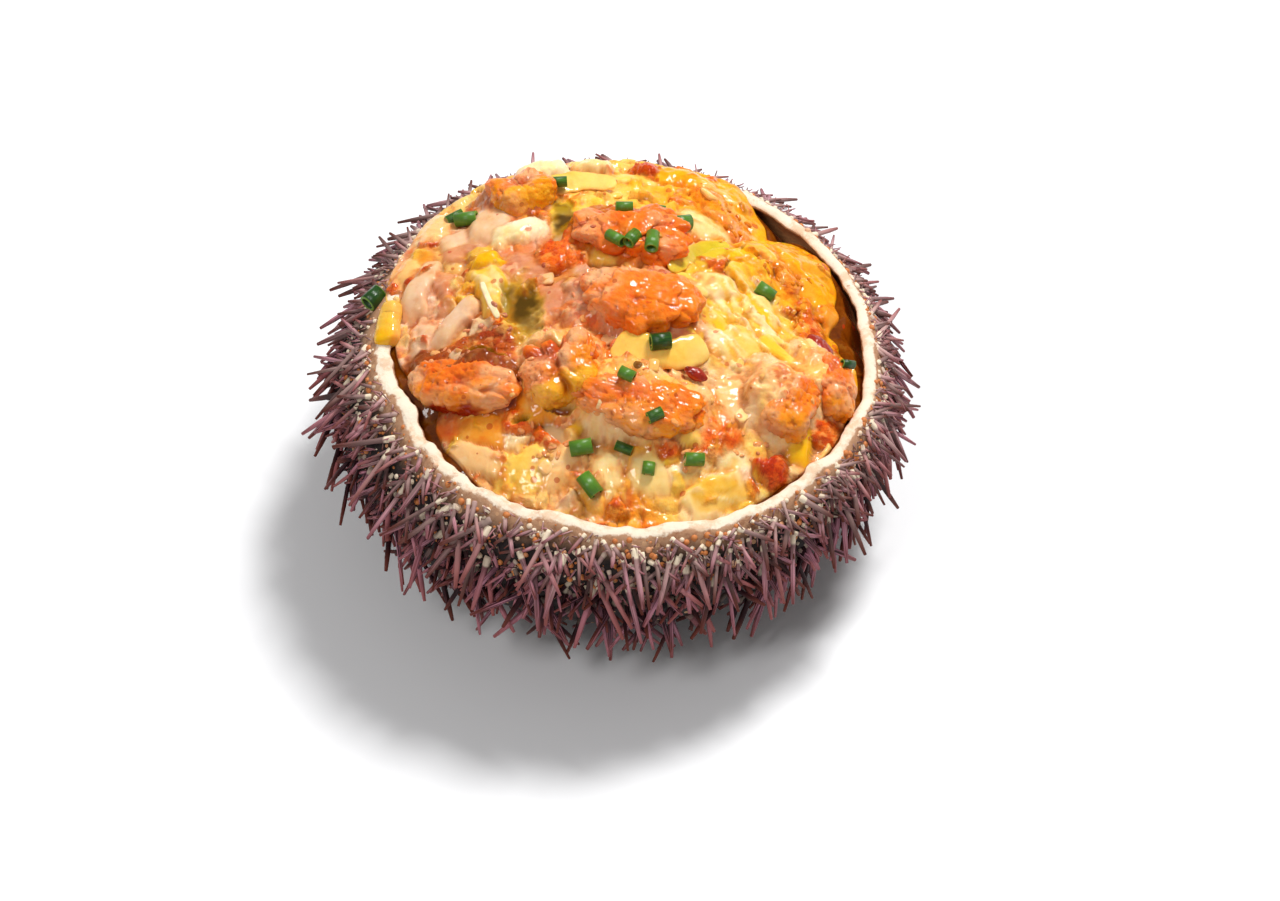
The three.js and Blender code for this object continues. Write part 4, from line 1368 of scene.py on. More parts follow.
class URCHIN_OT_filling(bpy.types.Operator):
    """Make the creamy body of the filling with its lumps, slices, crumbs and pools of oil"""
    bl_idname = "urchin.filling"
    bl_label = "Filling"

    cells = 280
    side_rows = 10
    neck_above_rim, neck_below_lip, neck_reach = 0.3, 0.5, 0.9
    lip_drop, lip_bulge = 0.25, 0.05
    bottom_share = 0.04
    wall_shade = 0.35
    blend = 0.18
    sunk = 0.9
    still_edge = 0.4
    steepness = 1.15
    border_stain, seam_stain = 0.22, 0.35
    skirt_shift, skirt_width, skirt_power = (-0.8, 1.2), 4.6, 2.4
    skirt_sleekness, skirt_graininess = 0.3, 0.4
    crease_pitch, crease_width, crease_depth = 3.2, 0.16, 0.4
    chop, chop_seed = 3.1, 81
    bit_lowest, bit_range, bit_lean, bit_bevel = -0.45, 1.3, 1.1, 0.9
    bit_melt = 0.15
    bit_tint = 0.35
    sauce_level, sauce_graininess = 0.05, 0.25
    crumb_pitch, crumb_height = 0.8, 0.40
    crumb_tint, crumb_strength, crumb_gap_strength, crumb_gap_shade = 0.6, 0.8, 0.5, 0.6
    rust_below, peach_above = 0.35, 0.78
    fibre_length, fibre_width, fibre_height = 6.0, 0.8, 0.30
    fibre_shift, fibre_sink = 7.0, 0.4
    ridge_strength, furrow_strength = 0.45, 0.6
    pool_level, pool_ring, pool_mix = 0.1, 0.45, 0.4
    veil_strength, soaked_strength, coral_strength = 0.6, 0.9, 0.35
    hollow_strength, toast_strength, deep_shade = 0.55, 0.50, 0.5
    slab_tilt = 0.15
    ridge_rounds = 14
    oil_takes = (0.02, 0.10, 0.65)

    # Noises: height, pitch, seed and layers
    slice_wander = ((0.7, 4.0, 55, 3),)
    lump_wander = ((0.8, 3.6, 51, 3), (0.3, 1.1, 53, 3))
    skirt_waves = ((1.2, 3.4, 57, 3),)
    unevenness = ((0.24, 2.4, 61, 3), (0.11, 0.9, 71, 3))
    sauce_waves = ((0.3, 5.0, 87, 3),)
    crumb_patches = ((0.5, 2.2, 93, 3),)
    fibre_waves = ((1.0, 1.0, 111, 1), (0.5, 0.5, 113, 1))
    torn_edge = ((0.3, 2.6, 115, 3),)
    pool_edge = ((0.3, 2.2, 65, 3),)
    pool_swirl = ((1.0, 2.6, 67, 3),)
    veil_patches = ((1.0, 3.0, 101, 3),)
    soaked_patches = ((1.0, 3.8, 105, 3),)
    coral_patches = ((1.0, 3.4, 103, 3),)
    toast_patches = ((1.0, 1.6, 107, 3),)

    def execute(self, context):
        look = context.scene.urchin_filling
        plan, angle, grid, border = self.disc()
        rise, tint, marks = self.surface(look, plan)
        top = np.column_stack((plan[:, :2], mound_height(plan[:, 0], plan[:, 1]) + rise))
        side = self.side(angle[border], top[border])
        points = np.concatenate((top, side.reshape(-1, 3), side[-1:].mean(1)))
        faces = grid.tolist() + self.skirt(border, len(top), len(side))
        source = np.concatenate((np.arange(len(top)), np.tile(border, len(side)), border[:1]))
        wall = len(top) + len(border)
        tint = tint[source]
        tint[wall:] = self.wall_shade * np.array(look.toffee)
        marks = {key: mark[source] for key, mark in marks.items()}
        for mark in marks.values():
            mark[wall:] = 0
        piece = piece_from("filling_sauce", points, faces, baked_sauce(), marks, tint)
        settle(piece, "filling", "filling")
        return {"FINISHED"}

    def disc(self):
        """A square grid pressed into the filling's outline: plan points, angles, faces and border."""
        line = np.linspace(-1, 1, self.cells + 1)
        u, v = (part.ravel() for part in np.meshgrid(line, line))
        wide = np.abs(u) >= np.abs(v)
        safe_u, safe_v = np.where(u == 0, 1, u), np.where(v == 0, 1, v)
        turn = np.where(wide, np.pi / 4 * v / safe_u, np.pi / 2 - np.pi / 4 * u / safe_v)
        share = np.where(wide, u, v)
        x, y = share * np.cos(turn), share * np.sin(turn)
        angle = np.arctan2(y, x)
        radius = np.hypot(x, y) * edge_radius(angle)
        plan = np.column_stack((radius * np.cos(angle), radius * np.sin(angle), 0 * u))
        index = np.arange(len(u)).reshape(self.cells + 1, self.cells + 1)
        corners = (index[:-1, :-1], index[:-1, 1:], index[1:, 1:], index[1:, :-1])
        grid = np.column_stack([corner.ravel() for corner in corners])
        border = np.concatenate((index[0, :-1], index[:-1, -1], index[-1, :0:-1], index[:0:-1, 0]))
        return plan, angle, grid, border

    def skirt(self, border, first, rows):
        """Faces from the border of the top down the side rings to the bottom point."""
        columns = len(border)
        rings = [border] + [first + row * columns + np.arange(columns) for row in range(rows)]
        faces = []
        for upper, lower in zip(rings[:-1], rings[1:]):
            faces += np.column_stack((lower, np.roll(lower, -1), np.roll(upper, -1), upper)).tolist()
        faces += pole_faces(first + rows * columns, rings[-1][0], columns, False).tolist()
        return faces

    def side(self, angle, lip):
        """Rings from just under the filling's edge down the shell's wall to the bottom."""
        rim = rim_height(angle)
        inset = shell().wall / MM + FIT_GAP
        neck = np.minimum(rim + self.neck_above_rim, lip[:, 2] - self.neck_below_lip)
        latitude = spheroid_latitude(np.minimum(neck, rim), inset)
        rows = []
        outer = np.hypot(lip[:, 0], lip[:, 1])
        for step in np.linspace(1, self.bottom_share, self.side_rows):
            radius, z = spheroid_point(-np.pi / 2 + (latitude + np.pi / 2) * step, inset)
            rows.append((radius - gap_width(angle) * ease(z, rim - GAP_DEPTH, rim), z))
        under = (rows[0][0] + (outer - rows[0][0]) * self.neck_reach, neck)
        rows = [(outer + self.lip_bulge, lip[:, 2] - self.lip_drop), under] + rows
        return np.array([np.column_stack((r * np.cos(angle), r * np.sin(angle), z)) for r, z in rows])

    def surface(self, look, plan):
        """Rise over the mound, tint, and marks for crumbs, oil and roughness at each plan point."""
        spot = plan - np.array((opening_x(), 0, 0))
        bent = spot + self.wander(spot, self.lump_wander)
        rise, tint, grain, rough = self.mixed(look, spot, bent)
        tint, rise = self.crumbs(look, spot, tint, rise, grain)
        tint, rise = self.fibres(look, bent, tint, rise)
        crease = ease(np.abs(smooth_noise(bent, self.crease_pitch, 63)), self.crease_width, 0.0)
        rise = rise + rough * (ripples(spot, self.unevenness) - self.crease_depth * crease)
        tint = self.baked(look, spot, tint, rise, rough)
        tint, rise, oil = self.pools(look, spot, bent, tint, rise)
        reach = np.hypot(plan[:, 0], plan[:, 1]) / edge_radius(np.arctan2(plan[:, 1], plan[:, 0]))
        inner = ease(reach, 1.0, 0.95)
        rise = (rise - self.sunk) * (self.still_edge + (1 - self.still_edge) * inner)
        return rise, tint, {"grain": grain * (1 - oil), "oil": oil, "rough": rough * (1 - oil)}

    def wander(self, plan, waves):
        """Offsets in the plan that make outlines uneven."""
        others = [(height, pitch, seed + 20, layers) for height, pitch, seed, layers in waves]
        return np.column_stack((ripples(plan, waves), ripples(plan, others), np.zeros(len(plan))))

    def mixed(self, look, spot, bent):
        """Chopped bits, larger pieces and the sauce round the roe. The highest shows, with soft joins and
        painted shade in the seams.
        """
        calm = spot + self.wander(spot, self.slice_wander)
        rise, base, crumbly = self.chopped(look, bent)
        none = np.zeros(len(spot))
        heights, edges, sleek = [rise], [none], [0.0]
        tints, grains = [], []
        for name, x, y, length, width, height, turn, tint in MORSELS:
            form = FORMS[name]
            along, away = footprint(calm if form.flat else bent, x, y, length, width, turn, form.corners)
            heights.append(self.steepness * height * self.profile(name, along, away))
            edges.append(ease(away, 0.5, 1.0))
            sleek.append(form.sleekness)
            tints.append(getattr(look, tint))
            grains.append(form.graininess)
        shift_x, shift_y = self.skirt_shift
        for (x, y), (length, width, height), turn, _, kind in ROE_LOBES:
            lobe = LOBE_KINDS[kind]
            around = (length + self.skirt_width, width + self.skirt_width)
            away = footprint(bent, x + shift_x, y + shift_y, *around, turn)[1]
            climb = lobe.climb * height + ripples(spot, self.skirt_waves)
            heights.append(climb * (1 - np.clip(away, 0, 2) ** self.skirt_power))
            edges.append(none)
            sleek.append(self.skirt_sleekness)
            tints.append(getattr(look, lobe.sauce))
            grains.append(self.skirt_graininess)
        heights = np.maximum(np.array(heights), -2)
        weights = np.exp((heights - heights.max(0)) / self.blend)
        rise = heights.max(0) + self.blend * np.log(weights.sum(0))
        weights /= weights.sum(0)
        tint = weights[0][:, None] * base + weights[1:].T @ np.array(tints)
        grain = weights[0] * crumbly + weights[1:].T @ np.array(grains)
        rough = 1 - weights.T @ np.array(sleek)
        # The outer part of each piece is tinted apricot.
        tint = stained(tint, self.border_stain * (weights * np.array(edges)).sum(0), look.apricot)
        # Painted shade: the seams where no piece rises above the rest darken to toffee.
        tint = stained(tint, self.seam_stain * ease(weights.max(0), 0.95, 0.5), look.toffee)
        return rise, tint, grain, rough

    def profile(self, form, along, away):
        """A piece's height as a share: a dome, a flat slab or a slice that tips up at one end."""
        edge = np.clip(away, 0, 2) ** FORMS[form].edge
        along = np.clip(along, -1, 1)
        if form == "slab":
            return (1 - edge) * (1 + self.slab_tilt * along)
        if form == "shingle":
            return 0.5 + 0.5 * along - edge
        return 1 - edge

    def chopped(self, look, points):
        """Tilted bits of chopped food, half drowned in the sauce: rise, tint and crumbliness."""
        border, offset, cell = nearest_cell(points, self.chop, self.chop_seed)
        lean = np.zeros((len(points), 3))
        lean[:, 0] = lattice_draw(cell, self.chop_seed + 3) - 0.5
        lean[:, 1] = lattice_draw(cell, self.chop_seed + 4) - 0.5
        bit = self.bit_lowest + self.bit_range * lattice_draw(cell, self.chop_seed + 5)
        bit = bit + self.bit_lean * (lean * offset).sum(1) - self.bit_bevel * ease(border, 0.9, 0.0)
        sauce = self.sauce_level + ripples(points, self.sauce_waves)
        above = ease(bit - sauce, -0.05, 0.25)
        wash = washed(look, points)
        tint = washed(look, points - offset)
        grain = np.zeros(len(points))
        pick = lattice_draw(cell, self.chop_seed + 7)
        for name, share, crumbly in CHOPPED:
            chosen = (pick >= 0) & (pick < share)
            mixture = tint ** (1 - self.bit_tint) * np.array(getattr(look, name)) ** self.bit_tint
            tint = np.where(chosen[:, None], mixture, tint)
            grain = np.where(chosen, crumbly, grain)
            pick = pick - share
        rise = sauce + np.logaddexp(0, (bit - sauce) / self.bit_melt) * self.bit_melt
        graininess = self.sauce_graininess + above * (grain - self.sauce_graininess)
        return rise, stained(wash, above, tint), graininess

    def crumbs(self, look, plan, tint, rise, grain):
        """Grains of roe: coarse and bright where the filling is crumbly, thinly strewn elsewhere, with
        painted shade in the gaps between them.
        """
        bump, chance = grain_noise(plan, self.crumb_pitch, 91)
        strewn = ease(grain + ripples(plan, self.crumb_patches), 0.3, 0.9)
        hue = np.where((chance < self.rust_below)[:, None], look.rust, look.coral)
        hue = np.where((chance > self.peach_above)[:, None], look.peach, hue)
        hue = hue ** self.crumb_tint * tint ** (1 - self.crumb_tint)
        tint = stained(tint, self.crumb_strength * strewn * ease(bump, 0.30, 0.65), hue)
        # Painted shade in the gaps between grains: they darken toward a dim rust.
        gap = strewn * ease(bump, 0.40, 0.15)
        tint = stained(tint, self.crumb_gap_strength * gap, self.crumb_gap_shade * np.array(look.rust))
        return tint, rise + self.crumb_height * strewn * bump

    def fibres(self, look, plan, tint, rise):
        """Pale ridges and deeper furrows that run one way in each torn patch."""
        for row, (x, y, reach, turn, light, dark) in enumerate(FIBRES):
            c, s = math.cos(math.radians(turn)), math.sin(math.radians(turn))
            away = plan - np.array((x, y, 0))
            lengthwise = (away[:, 0] * c + away[:, 1] * s) / self.fibre_length
            crosswise = (away[:, 1] * c - away[:, 0] * s) / self.fibre_width
            lay = np.column_stack((lengthwise, crosswise, np.full(len(plan), self.fibre_shift * row)))
            torn = np.hypot(away[:, 0], away[:, 1]) / reach + ripples(plan, self.torn_edge)
            patch = ease(torn, 1.0, 0.6)
            ridge = ease(ripples(lay, self.fibre_waves), -0.3, 0.6)
            rise = rise + self.fibre_height * patch * (ridge - self.fibre_sink)
            tint = stained(tint, self.ridge_strength * patch * ridge, getattr(look, light))
            tint = stained(tint, self.furrow_strength * patch * (1 - ridge), getattr(look, dark))
        return tint, rise

    def baked(self, look, plan, tint, rise, rough):
        """Cream veils, patches soaked with oil, coral stains, golden-brown hollows that are partly browned
        sauce and partly painted shade, toasted ridges, and painted shade deep in the hollows.
        """
        side = self.cells + 1
        smooth = rise.reshape(side, side)
        for _ in range(self.ridge_rounds):
            padded = np.pad(smooth, 1, mode="edge")
            smooth = (padded[:-2, 1:-1] + padded[2:, 1:-1] + padded[1:-1, :-2] + padded[1:-1, 2:]) / 4
        ridge = rise - smooth.ravel()
        pale = ease(tint[:, 2], 0.04, 0.2)
        veil = self.veil_strength * rough * pale * ease(ripples(plan, self.veil_patches), 0.2, 0.8)
        tint = stained(tint, veil, tint ** 0.6)
        soaked = self.soaked_strength * (0.15 + 0.85 * rough)
        soaked = soaked * ease(ripples(plan, self.soaked_patches), -0.1, 0.5)
        tint = tint * (1 - soaked[:, None] * np.array(self.oil_takes))
        coral = self.coral_strength * rough * ease(ripples(plan, self.coral_patches), 0.3, 0.9)
        tint = stained(tint, coral, look.coral)
        # Hollows turn toffee: partly browned sauce, partly painted shade.
        tint = stained(tint, self.hollow_strength * ease(ridge, -0.05, -0.35), look.toffee)
        toasted = self.toast_strength * rough * ease(ridge, 0.15, 0.40)
        toasted = toasted * ease(ripples(plan, self.toast_patches), -0.1, 0.5)
        tint = stained(tint, toasted, look.rust)
        # Painted shade: the deepest hollows are darkened further.
        return tint * (1 - self.deep_shade * ease(ridge, -0.3, -0.9))[:, None]

    def pools(self, look, spot, bent, tint, rise):
        """Oil and juice in the hollows: level and swirled. Oil has a green-yellow edge."""
        oil = np.zeros(len(spot))
        lap = ripples(spot, self.pool_edge)
        swirl = self.pool_mix * ease(ripples(spot, self.pool_swirl), -0.1, 0.6)
        for x, y, length, width, turn, name in POOLS:
            away = footprint(bent, x, y, length, width, turn, 2.0)[1] + lap
            pool = ease(away, 1.3, 0.6)
            rise = rise - pool * (rise - self.pool_level)
            if name != "broth":
                tint = stained(tint, self.pool_ring * ease(away, 1.5, 0.9), look.lime)
            tint = stained(tint, ease(away, 1.2, 0.5) * (1 - swirl), getattr(look, name))
            oil = np.maximum(oil, pool)
        return tint, rise, oil


class URCHIN_OT_pieces(bpy.types.Operator):
    """Lay the strips and the toasted bits that stand clear of the sauce"""
    bl_idname = "urchin.pieces"
    bl_label = "Pieces"

    strip_steps = 60
    strip_sides = 24
    flatness = (0.6, 0.8)
    end_power = 9
    end_width = 0.04
    painted_edge_shade = 0.6
    bit_rings = (30, 44)
    bit_lift = 0.4
    wobble_shift, wave_shift, bit_shift = 50, 30, 20

    # Noises: height, pitch, seed and layers
    strip_wobble = ((0.3, 3.0, 3, 3),)
    strip_waves = ((0.16, 1.6, 7, 3),)
    bit_swell = ((0.22, 2.0, 11, 3), (0.05, 0.7, 13, 3))

    def execute(self, context):
        look = context.scene.urchin_filling
        points, faces, owner = joined([self.strip(row, *spec) for row, (*spec, _) in enumerate(STRIPS)])
        tints = np.array([getattr(look, name) for *_, name in STRIPS])[owner]
        edge = np.tile(np.append(self.strip_edge(), (1.0, 1.0)), len(STRIPS))
        # Painted shade: the long edges of each strip darken to apricot, the top stays pale.
        tints = stained(tints, self.painted_edge_shade * edge, look.apricot)
        settle(piece_from("filling_strips", points, faces, soft_slice(), tint=tints), "filling")
        points, faces, _ = joined([self.bit(row, *spec) for row, spec in enumerate(BITS)])
        settle(piece_from("filling_toasted_bits", points, faces, toasted_bit()), "filling")
        return {"FINISHED"}

    def strip_edge(self):
        """How near each point of a strip lies to its long edges."""
        turn = np.linspace(0, 2 * np.pi, self.strip_sides, endpoint=False)
        return np.tile(ease(np.abs(np.cos(turn[::-1])), 0.55, 1.0), self.strip_steps)

    def strip(self, row, first, middle, last, width, thick, lift, tilt):
        """A soft strip along an arc over the mound, narrower at its ends."""
        t = np.linspace(0, 1, self.strip_steps)
        weights = np.column_stack(((1 - t) ** 2, 2 * t * (1 - t), t ** 2))
        plan = weights @ np.array((first, middle, last)) + np.array((opening_x(), 0))
        height = mound_height(plan[:, 0], plan[:, 1]) + lift
        spine = np.column_stack((plan, height))
        heading = np.gradient(spine, axis=0)
        heading /= np.linalg.norm(heading, axis=1)[:, None]
        up = np.array([mound_normal(*point) for point in plan])
        across = np.cross(up, heading)
        across /= np.linalg.norm(across, axis=1)[:, None]
        up = np.cross(heading, across)
        lean = math.radians(tilt)
        broad = math.cos(lean) * across + math.sin(lean) * up
        high = math.cos(lean) * up - math.sin(lean) * across
        turn = np.linspace(0, 2 * np.pi, self.strip_sides, endpoint=False)
        sideways, upward = self.flatness
        flat_cos = np.sign(np.cos(turn)) * np.abs(np.cos(turn)) ** sideways
        flat_sin = np.sign(np.sin(turn)) * np.abs(np.sin(turn)) ** upward
        ends = np.sqrt(np.clip(1 - np.abs(2 * t - 1) ** self.end_power, 0, 1))
        ends = ends * (1 - self.end_width) + self.end_width
        wobble = 1 + ripples(spine + self.wobble_shift * row, self.strip_wobble)
        wide = (0.5 * width * ends * wobble)[:, None, None]
        deep = (0.5 * thick * ends)[:, None, None]
        rings = spine[:, None, :] + wide * flat_cos[None, :, None] * broad[:, None, :]
        rings = rings + deep * flat_sin[None, :, None] * high[:, None, :]
        flat = rings.reshape(-1, 3)
        waves = ripples(flat + self.wave_shift * row, self.strip_waves)
        flat = flat + waves[:, None] * np.repeat(high, self.strip_sides, axis=0)
        return ringed_mesh(flat.reshape(rings.shape)[:, ::-1])

    def bit(self, row, at, size, turn):
        """An uneven rounded bit, sunk in the mound."""
        unit = ball(*self.bit_rings)
        flat = unit.reshape(-1, 3) * np.array(size) / 2
        swell = 1 + ripples(flat + self.bit_shift * row, self.bit_swell)
        axes, middle = frame_on_mound(*at, turn)
        flat = middle + (flat * swell[:, None] + np.array((0, 0, self.bit_lift))) @ axes.T
        return ringed_mesh(flat.reshape(unit.shape))


class URCHIN_OT_roe(bpy.types.Operator):
    """Shape the lobes of roe, granular or smooth, with their clinging sauce"""
    bl_idname = "urchin.roe"
    bl_label = "Roe"

    rows = 84
    columns = 120
    rise = 0.14
    fold_pitch, fold_width, fold_depth = 3.4, 0.14, 0.16
    cleft_width, cleft_depth = 0.13, 0.3
    chunk_pitch, chunk_height = 3.0, 0.9
    rough_grain, smooth_grain = 0.52, 0.18
    film_strength, film_end, film_grain = 0.9, 0.6, 0.25
    char_from, char_drop, char_ramp = 0.55, 0.35, 0.4
    lobe_shift = 25

    # Noises: height, pitch, seed and layers
    lumps = ((0.26, 4.6, 19, 3), (0.12, 1.8, 23, 3))
    smooth_patches = ((1.0, 4.5, 17, 1),)
    flank_edge = ((0.4, 3.0, 45, 3),)
    cleft_sway = ((0.25, 2.6, 49, 1),)
    film_patches = ((1.0, 4.0, 37, 3),)
    char_edge = ((0.6, 2.4, 43, 3),)
    gold_patches = ((1.0, 3.0, 47, 3),)

    def execute(self, context):
        material = orange_roe()
        grain = context.scene.urchin_roe.grain_size / MM
        for row, (at, size, turn, bend, kind) in enumerate(ROE_LOBES):
            shape, marks = self.lobe(LOBE_KINDS[kind], row, size, bend, grain)
            axes, middle = frame_on_mound(*at, turn)
            flat = middle + (shape + np.array((0, 0, self.rise * size[2]))) @ axes.T
            points, faces = ringed_mesh(flat.reshape(self.rows, self.columns, 3))
            values = {key: np.append(mark, (0.0, 0.0)) for key, mark in marks.items()}
            piece = piece_from(f"roe_lobe_{row + 1}", points, faces, material, values)
            settle(piece, "roe", f"roe_{row + 1}")
        return {"FINISHED"}

    def lobe(self, kind, row, size, bend, grain):
        """Points of a lobe round its own middle, and marks for its finishes."""
        unit = ball(self.rows, self.columns)[..., [2, 0, 1]].reshape(-1, 3)
        along, across, up = unit.T
        boxy = unit / (np.abs(unit) ** kind.power).sum(1, keepdims=True) ** (1 / kind.power)
        shape = boxy * np.array(size) / 2
        shape[:, 1] += bend * size[0] / 2 * along ** 2
        seat = shape + self.lobe_shift * row
        facing = -0.95 * across - 0.4 * up + ripples(seat, self.flank_edge)
        flank = kind.flank * ease(facing, 0.1, 0.4)
        evenness = ripples(seat, self.smooth_patches) + 2 * kind.smoothness - 1 + 0.6 * along
        smooth = np.maximum(ease(evenness, -0.35, 0.35), flank)
        fold = ease(np.abs(smooth_noise(seat, self.fold_pitch, 25)), self.fold_width, 0.0)
        lumps = kind.crags * (ripples(seat, self.lumps) - self.fold_depth * fold) * (1 - 0.7 * flank)
        middle = along + ripples(seat, self.cleft_sway)
        cleft = np.exp(-(middle / self.cleft_width) ** 2) * ease(up, -0.1, 0.4)
        lumps = lumps - self.cleft_depth * kind.cleft * cleft
        chunk = kind.crags * (1 - 0.9 * flank) * (grain_noise(seat, self.chunk_pitch, 33)[0] - 0.6)
        bump, chance = grain_noise(seat, grain, 29)
        film = self.film_strength * ease(kind.filming - 0.5 + ripples(seat, self.film_patches), -0.3, 0.6)
        film = film + self.film_end * ease(along, -0.1, -0.8) + self.film_grain * (chance < 0.12)
        film = np.clip(film, 0, 1) * (1 - 0.5 * flank)
        height = self.rough_grain + (self.smooth_grain - self.rough_grain) * smooth
        grains = bump * height * (1 - 0.5 * film)
        shape = shape * (1 + lumps)[:, None] + unit * (self.chunk_height * chunk + grains)[:, None]
        low_edge = -0.6 * across - 0.6 * np.abs(up) - 0.3 * along + ripples(seat, self.char_edge)
        bare = self.char_from - self.char_drop * kind.charring
        # Painted shade in the folds of the lobe; with the gaps between grains it makes the crevice shade.
        hollow = ease(lumps + 0.45 * chunk, -0.04, -0.28)
        return shape, {
            "smooth": smooth,
            "film": film,
            "char": kind.charring * ease(low_edge, bare, bare + self.char_ramp),
            "gilding": kind.gilding * ease(ripples(seat, self.gold_patches) - 0.5 * across, -0.2, 0.4),
            "crevice": np.maximum(ease(bump, 0.55, 0.15) * (1 - 0.6 * smooth), hollow),
            "flank": flank,
        }


class URCHIN_OT_bits(bpy.types.Operator):
    """Strew small slices and crumbs of roe over the filling"""
    bl_idname = "urchin.bits"
    bl_label = "Bits"

    reach = 27.0
    own_share = 0.55
    roughness = 0.4
    draw_step = 500
    shade_least, shade_extra = 0.85, 0.2
    angle_stray = 0.8
    fall_least, fall_extra = 0.35, 0.4

    def execute(self, context):
        tree = bit_tree()
        for row, (kind, spec) in enumerate(STREWN.items()):
            self.strew(context, kind, spec, np.arange(spec.number) + self.draw_step * row, tree)
        return {"FINISHED"}

    def strew(self, context, kind, spec, index, tree):
        look = context.scene.urchin_filling
        plan = self.scattered(index) if kind == "slice" else self.fallen(index)
        clear = self.clear(kind, plan)
        index, plan = index[clear], plan[clear]
        spans = enumerate(spec.spans)
        size = np.column_stack([low + (high - low) * draw(index, 22 + axis) for axis, (low, high) in spans])
        tint = np.array([getattr(look, spec.tints[int(pick)]) for pick in draw(index, 21) * len(spec.tints)])
        tint = self.own_share * tint + (1 - self.own_share) * washed(look, plan)
        tint = tint * (self.shade_least + self.shade_extra * draw(index, 26))[:, None]
        sway = spec.tilt * (np.column_stack([draw(index, 27 + axis) for axis in range(3)]) - 0.5)
        points, aims, headings = [], [], []
        for (x, y), turn, lean, thick in zip(plan, 360 * draw(index, 25), sway, size[:, 2]):
            axes, middle = frame_on_mound(x, y, turn)
            middle[2] = height_below(context, middle) + spec.lift * thick
            points.append(middle)
            aims.append(axes[:, 2] + lean)
            headings.append(axes[:, 0])
        vectors = {"aim": aims, "heading": headings, "measure": size / 2 * MM, "tint": tint}
        marks = {"grain": spec.crumbly, "oil": 0.0, "rough": self.roughness}
        marks = {key: np.full(len(index), mark) for key, mark in marks.items()}
        material = bpy.data.materials["Baked sauce"]
        piece = grow_field(
            f"filling_{kind}s", tree, material, np.array(points), vectors, marks, Roundness=spec.roundness)
        settle(piece, "filling")

    def scattered(self, index):
        """Places spread evenly over the mound."""
        order = index - index[0] + 0.5
        radius = self.reach * np.sqrt(order / len(index))
        angle = order * GOLDEN_ANGLE + self.angle_stray * draw(index, 31)
        return np.column_stack((radius * np.cos(angle), radius * np.sin(angle)))

    def fallen(self, index):
        """Places beside the roe and the clumps of grains that the crumbs broke off."""
        hosts = [(*at, size[0], size[1]) for at, size, *_ in ROE_LOBES]
        hosts += [(x, y, length, width) for form, x, y, length, width, *_ in MORSELS if form == "grain"]
        host = np.array(hosts)[(draw(index, 32) * len(hosts)).astype(int)]
        angle = 2 * np.pi * draw(index, 33)
        away = self.fall_least + self.fall_extra * draw(index, 34)
        return host[:, :2] + (away * host[:, 2:].T * np.array((np.cos(angle), np.sin(angle)))).T

    def clear(self, kind, plan):
        """Which places lie inside the mound and off the pools, the sleek pieces and the lobes."""
        free = np.hypot(plan[:, 0], plan[:, 1]) < self.reach
        for x, y, length, width, turn, _ in POOLS:
            free &= footprint(plan, x, y, length + 1, width + 1, turn)[1] > 1
        if kind == "slice":
            for (x, y), (length, width, _), turn, *_ in ROE_LOBES:
                free &= footprint(plan, x, y, length, width, turn)[1] > 1
        for form, x, y, length, width, _, turn, _ in MORSELS:
            if FORMS[form].flat:
                free &= footprint(plan, x, y, length, width, turn)[1] > 0.9
        return free


class URCHIN_OT_chives(bpy.types.Operator):
    """Scatter the cut chives over the filling"""
    bl_idname = "urchin.chives"
    bl_label = "Chives"

    stands_up = 0.5
    ovalness = 0.82

    def execute(self, context):
        points, aims, measures = [], [], []
        for (x, y), turn, length, radius in CHIVES:
            axes, middle = frame_on_mound(x, y, turn)
            along = axes[:, 0] * length / 2
            below = [height_below(context, place) for place in (middle, middle - along, middle + along)]
            middle[2] = max(below[0], sum(below) / 3) + radius * self.stands_up
            points.append(middle)
            aims.append(axes[:, 0])
            measures.append((radius, radius * self.ovalness, length))
        tone = draw(np.arange(len(points)), 12)
        piece = grow_field(
            "chives", chive_tree(), chive_green(), np.array(points),
            {"aim": np.array(aims), "measure": np.array(measures) * MM}, {"tone": tone})
        settle(piece, "filling")
        return {"FINISHED"}


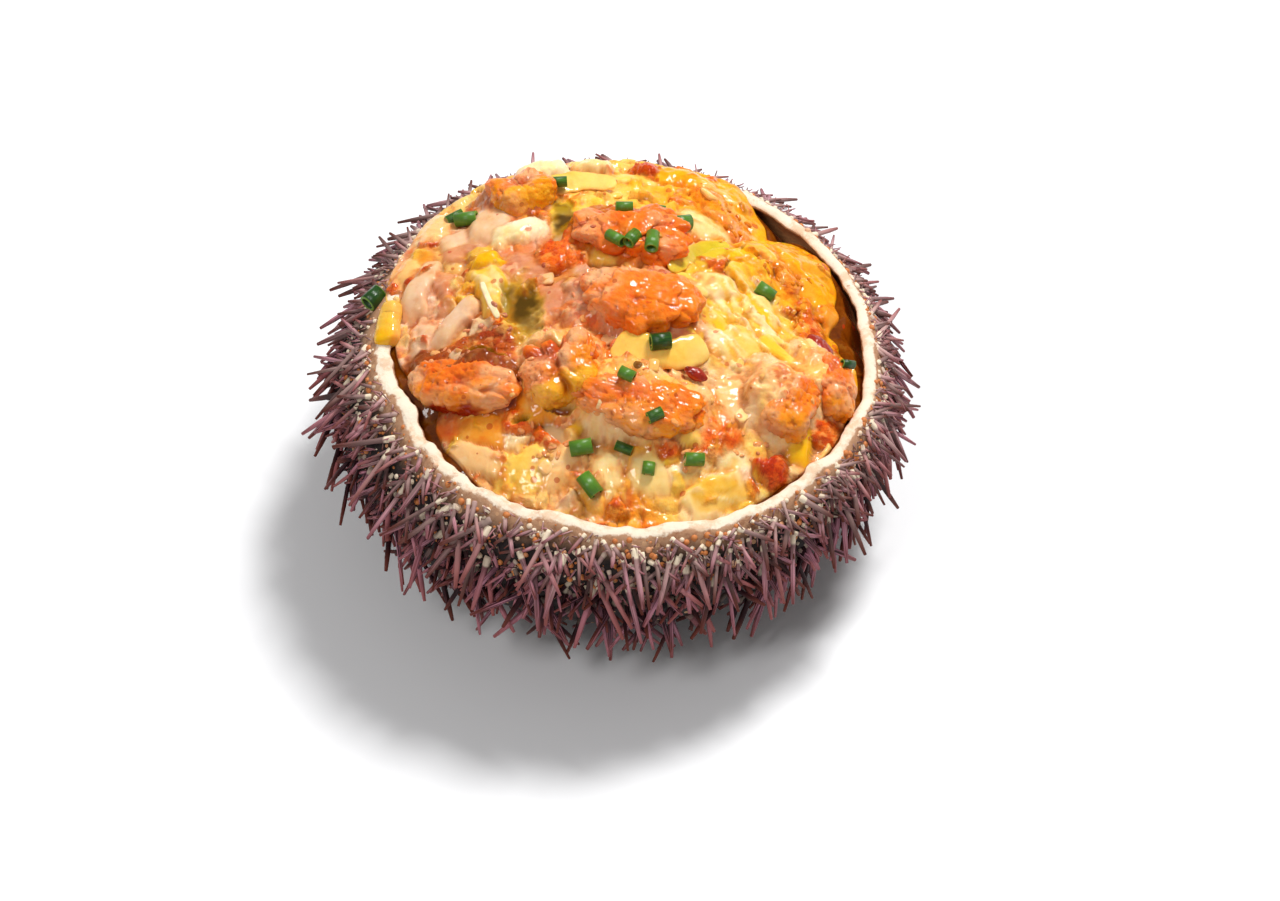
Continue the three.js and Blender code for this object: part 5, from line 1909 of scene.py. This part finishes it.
class URCHIN_OT_stage(bpy.types.Operator):
    """Set the pale floor, the soft studio light and the camera"""
    bl_idname = "urchin.stage"
    bl_label = "Stage"

    floor_reach = 4.0
    sensor_width = 36
    nearest = 0.01
    sky = 0.27
    lit_point = (0, 0, 0.03)
    lights = (
        ("Key", (0.26, 0.34, 0.72), 0.22, 6.8),
        ("Fill", (-0.34, -0.42, 0.80), 0.22, 2.5),
    )

    def execute(self, context):
        self.floor(context)
        world = bpy.data.worlds.new("Studio")
        world.use_nodes = True
        backdrop = world.node_tree.nodes["Background"]
        backdrop.inputs["Color"].default_value = (1.0, 1.0, 1.0, 1.0)
        backdrop.inputs["Strength"].default_value = self.sky
        context.scene.world = world
        for light in self.lights:
            self.light(context, *light)
        self.camera(context)
        context.scene.view_settings.view_transform = "Standard"
        return {"FINISHED"}

    def floor(self, context):
        side = self.floor_reach
        corners = [(-side, -side, 0), (side, -side, 0), (side, side, 0), (-side, side, 0)]
        mesh = bpy.data.meshes.new("floor")
        mesh.from_pydata(corners, [], [(0, 1, 2, 3)])
        mesh.materials.append(pale_floor())
        floor = bpy.data.objects.new("floor", mesh)
        context.scene.collection.objects.link(floor)

    def light(self, context, name, place, size, power):
        light = bpy.data.lights.new(name, "AREA")
        light.size = size
        light.energy = power
        panel = bpy.data.objects.new(name, light)
        panel.location = place
        toward = Vector(self.lit_point) - Vector(place)
        panel.rotation_euler = toward.to_track_quat("-Z", "Y").to_euler()
        context.scene.collection.objects.link(panel)

    def camera(self, context):
        look = context.scene.urchin_stage
        camera = bpy.data.objects.new("Camera", bpy.data.cameras.new("Camera"))
        camera.data.lens = look.lens
        camera.data.sensor_width = self.sensor_width
        camera.data.clip_start = self.nearest
        back = Vector((0, -math.cos(look.elevation), math.sin(look.elevation)))
        camera.location = Vector(look.aim) + back * look.distance
        camera.rotation_euler = (math.pi / 2 - look.elevation, 0, 0)
        context.scene.collection.objects.link(camera)
        context.scene.camera = camera


class URCHIN_PT_panel(bpy.types.Panel):
    bl_idname = "URCHIN_PT_panel"
    bl_label = "Baked Sea Urchin"
    bl_space_type = "VIEW_3D"
    bl_region_type = "UI"
    bl_category = "Urchin"

    def draw(self, context):
        for operator in OPERATORS:
            self.layout.operator(operator.bl_idname)
        for name, group in SETTINGS.items():
            box = self.layout.box()
            box.label(text=group.__name__)
            for key in group.__annotations__:
                box.prop(getattr(context.scene, name), key)


OPERATORS = (
    URCHIN_OT_stage,
    URCHIN_OT_shell,
    URCHIN_OT_spines,
    URCHIN_OT_filling,
    URCHIN_OT_pieces,
    URCHIN_OT_roe,
    URCHIN_OT_bits,
    URCHIN_OT_chives,
)
CLASSES = (*SETTINGS.values(), *OPERATORS, URCHIN_PT_panel)


def register():
    for cls in CLASSES:
        bpy.utils.register_class(cls)
    for name, group in SETTINGS.items():
        setattr(bpy.types.Scene, name, bpy.props.PointerProperty(type=group))


def unregister():
    for name in SETTINGS:
        delattr(bpy.types.Scene, name)
    for cls in reversed(CLASSES):
        bpy.utils.unregister_class(cls)


def main():
    register()
    bpy.ops.urchin.stage()
    bpy.ops.urchin.shell()
    bpy.ops.urchin.spines()
    bpy.ops.urchin.filling()
    bpy.ops.urchin.pieces()
    bpy.ops.urchin.roe()
    bpy.ops.urchin.bits()
    bpy.ops.urchin.chives()
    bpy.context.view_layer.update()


if __name__ == "__main__":
    main()
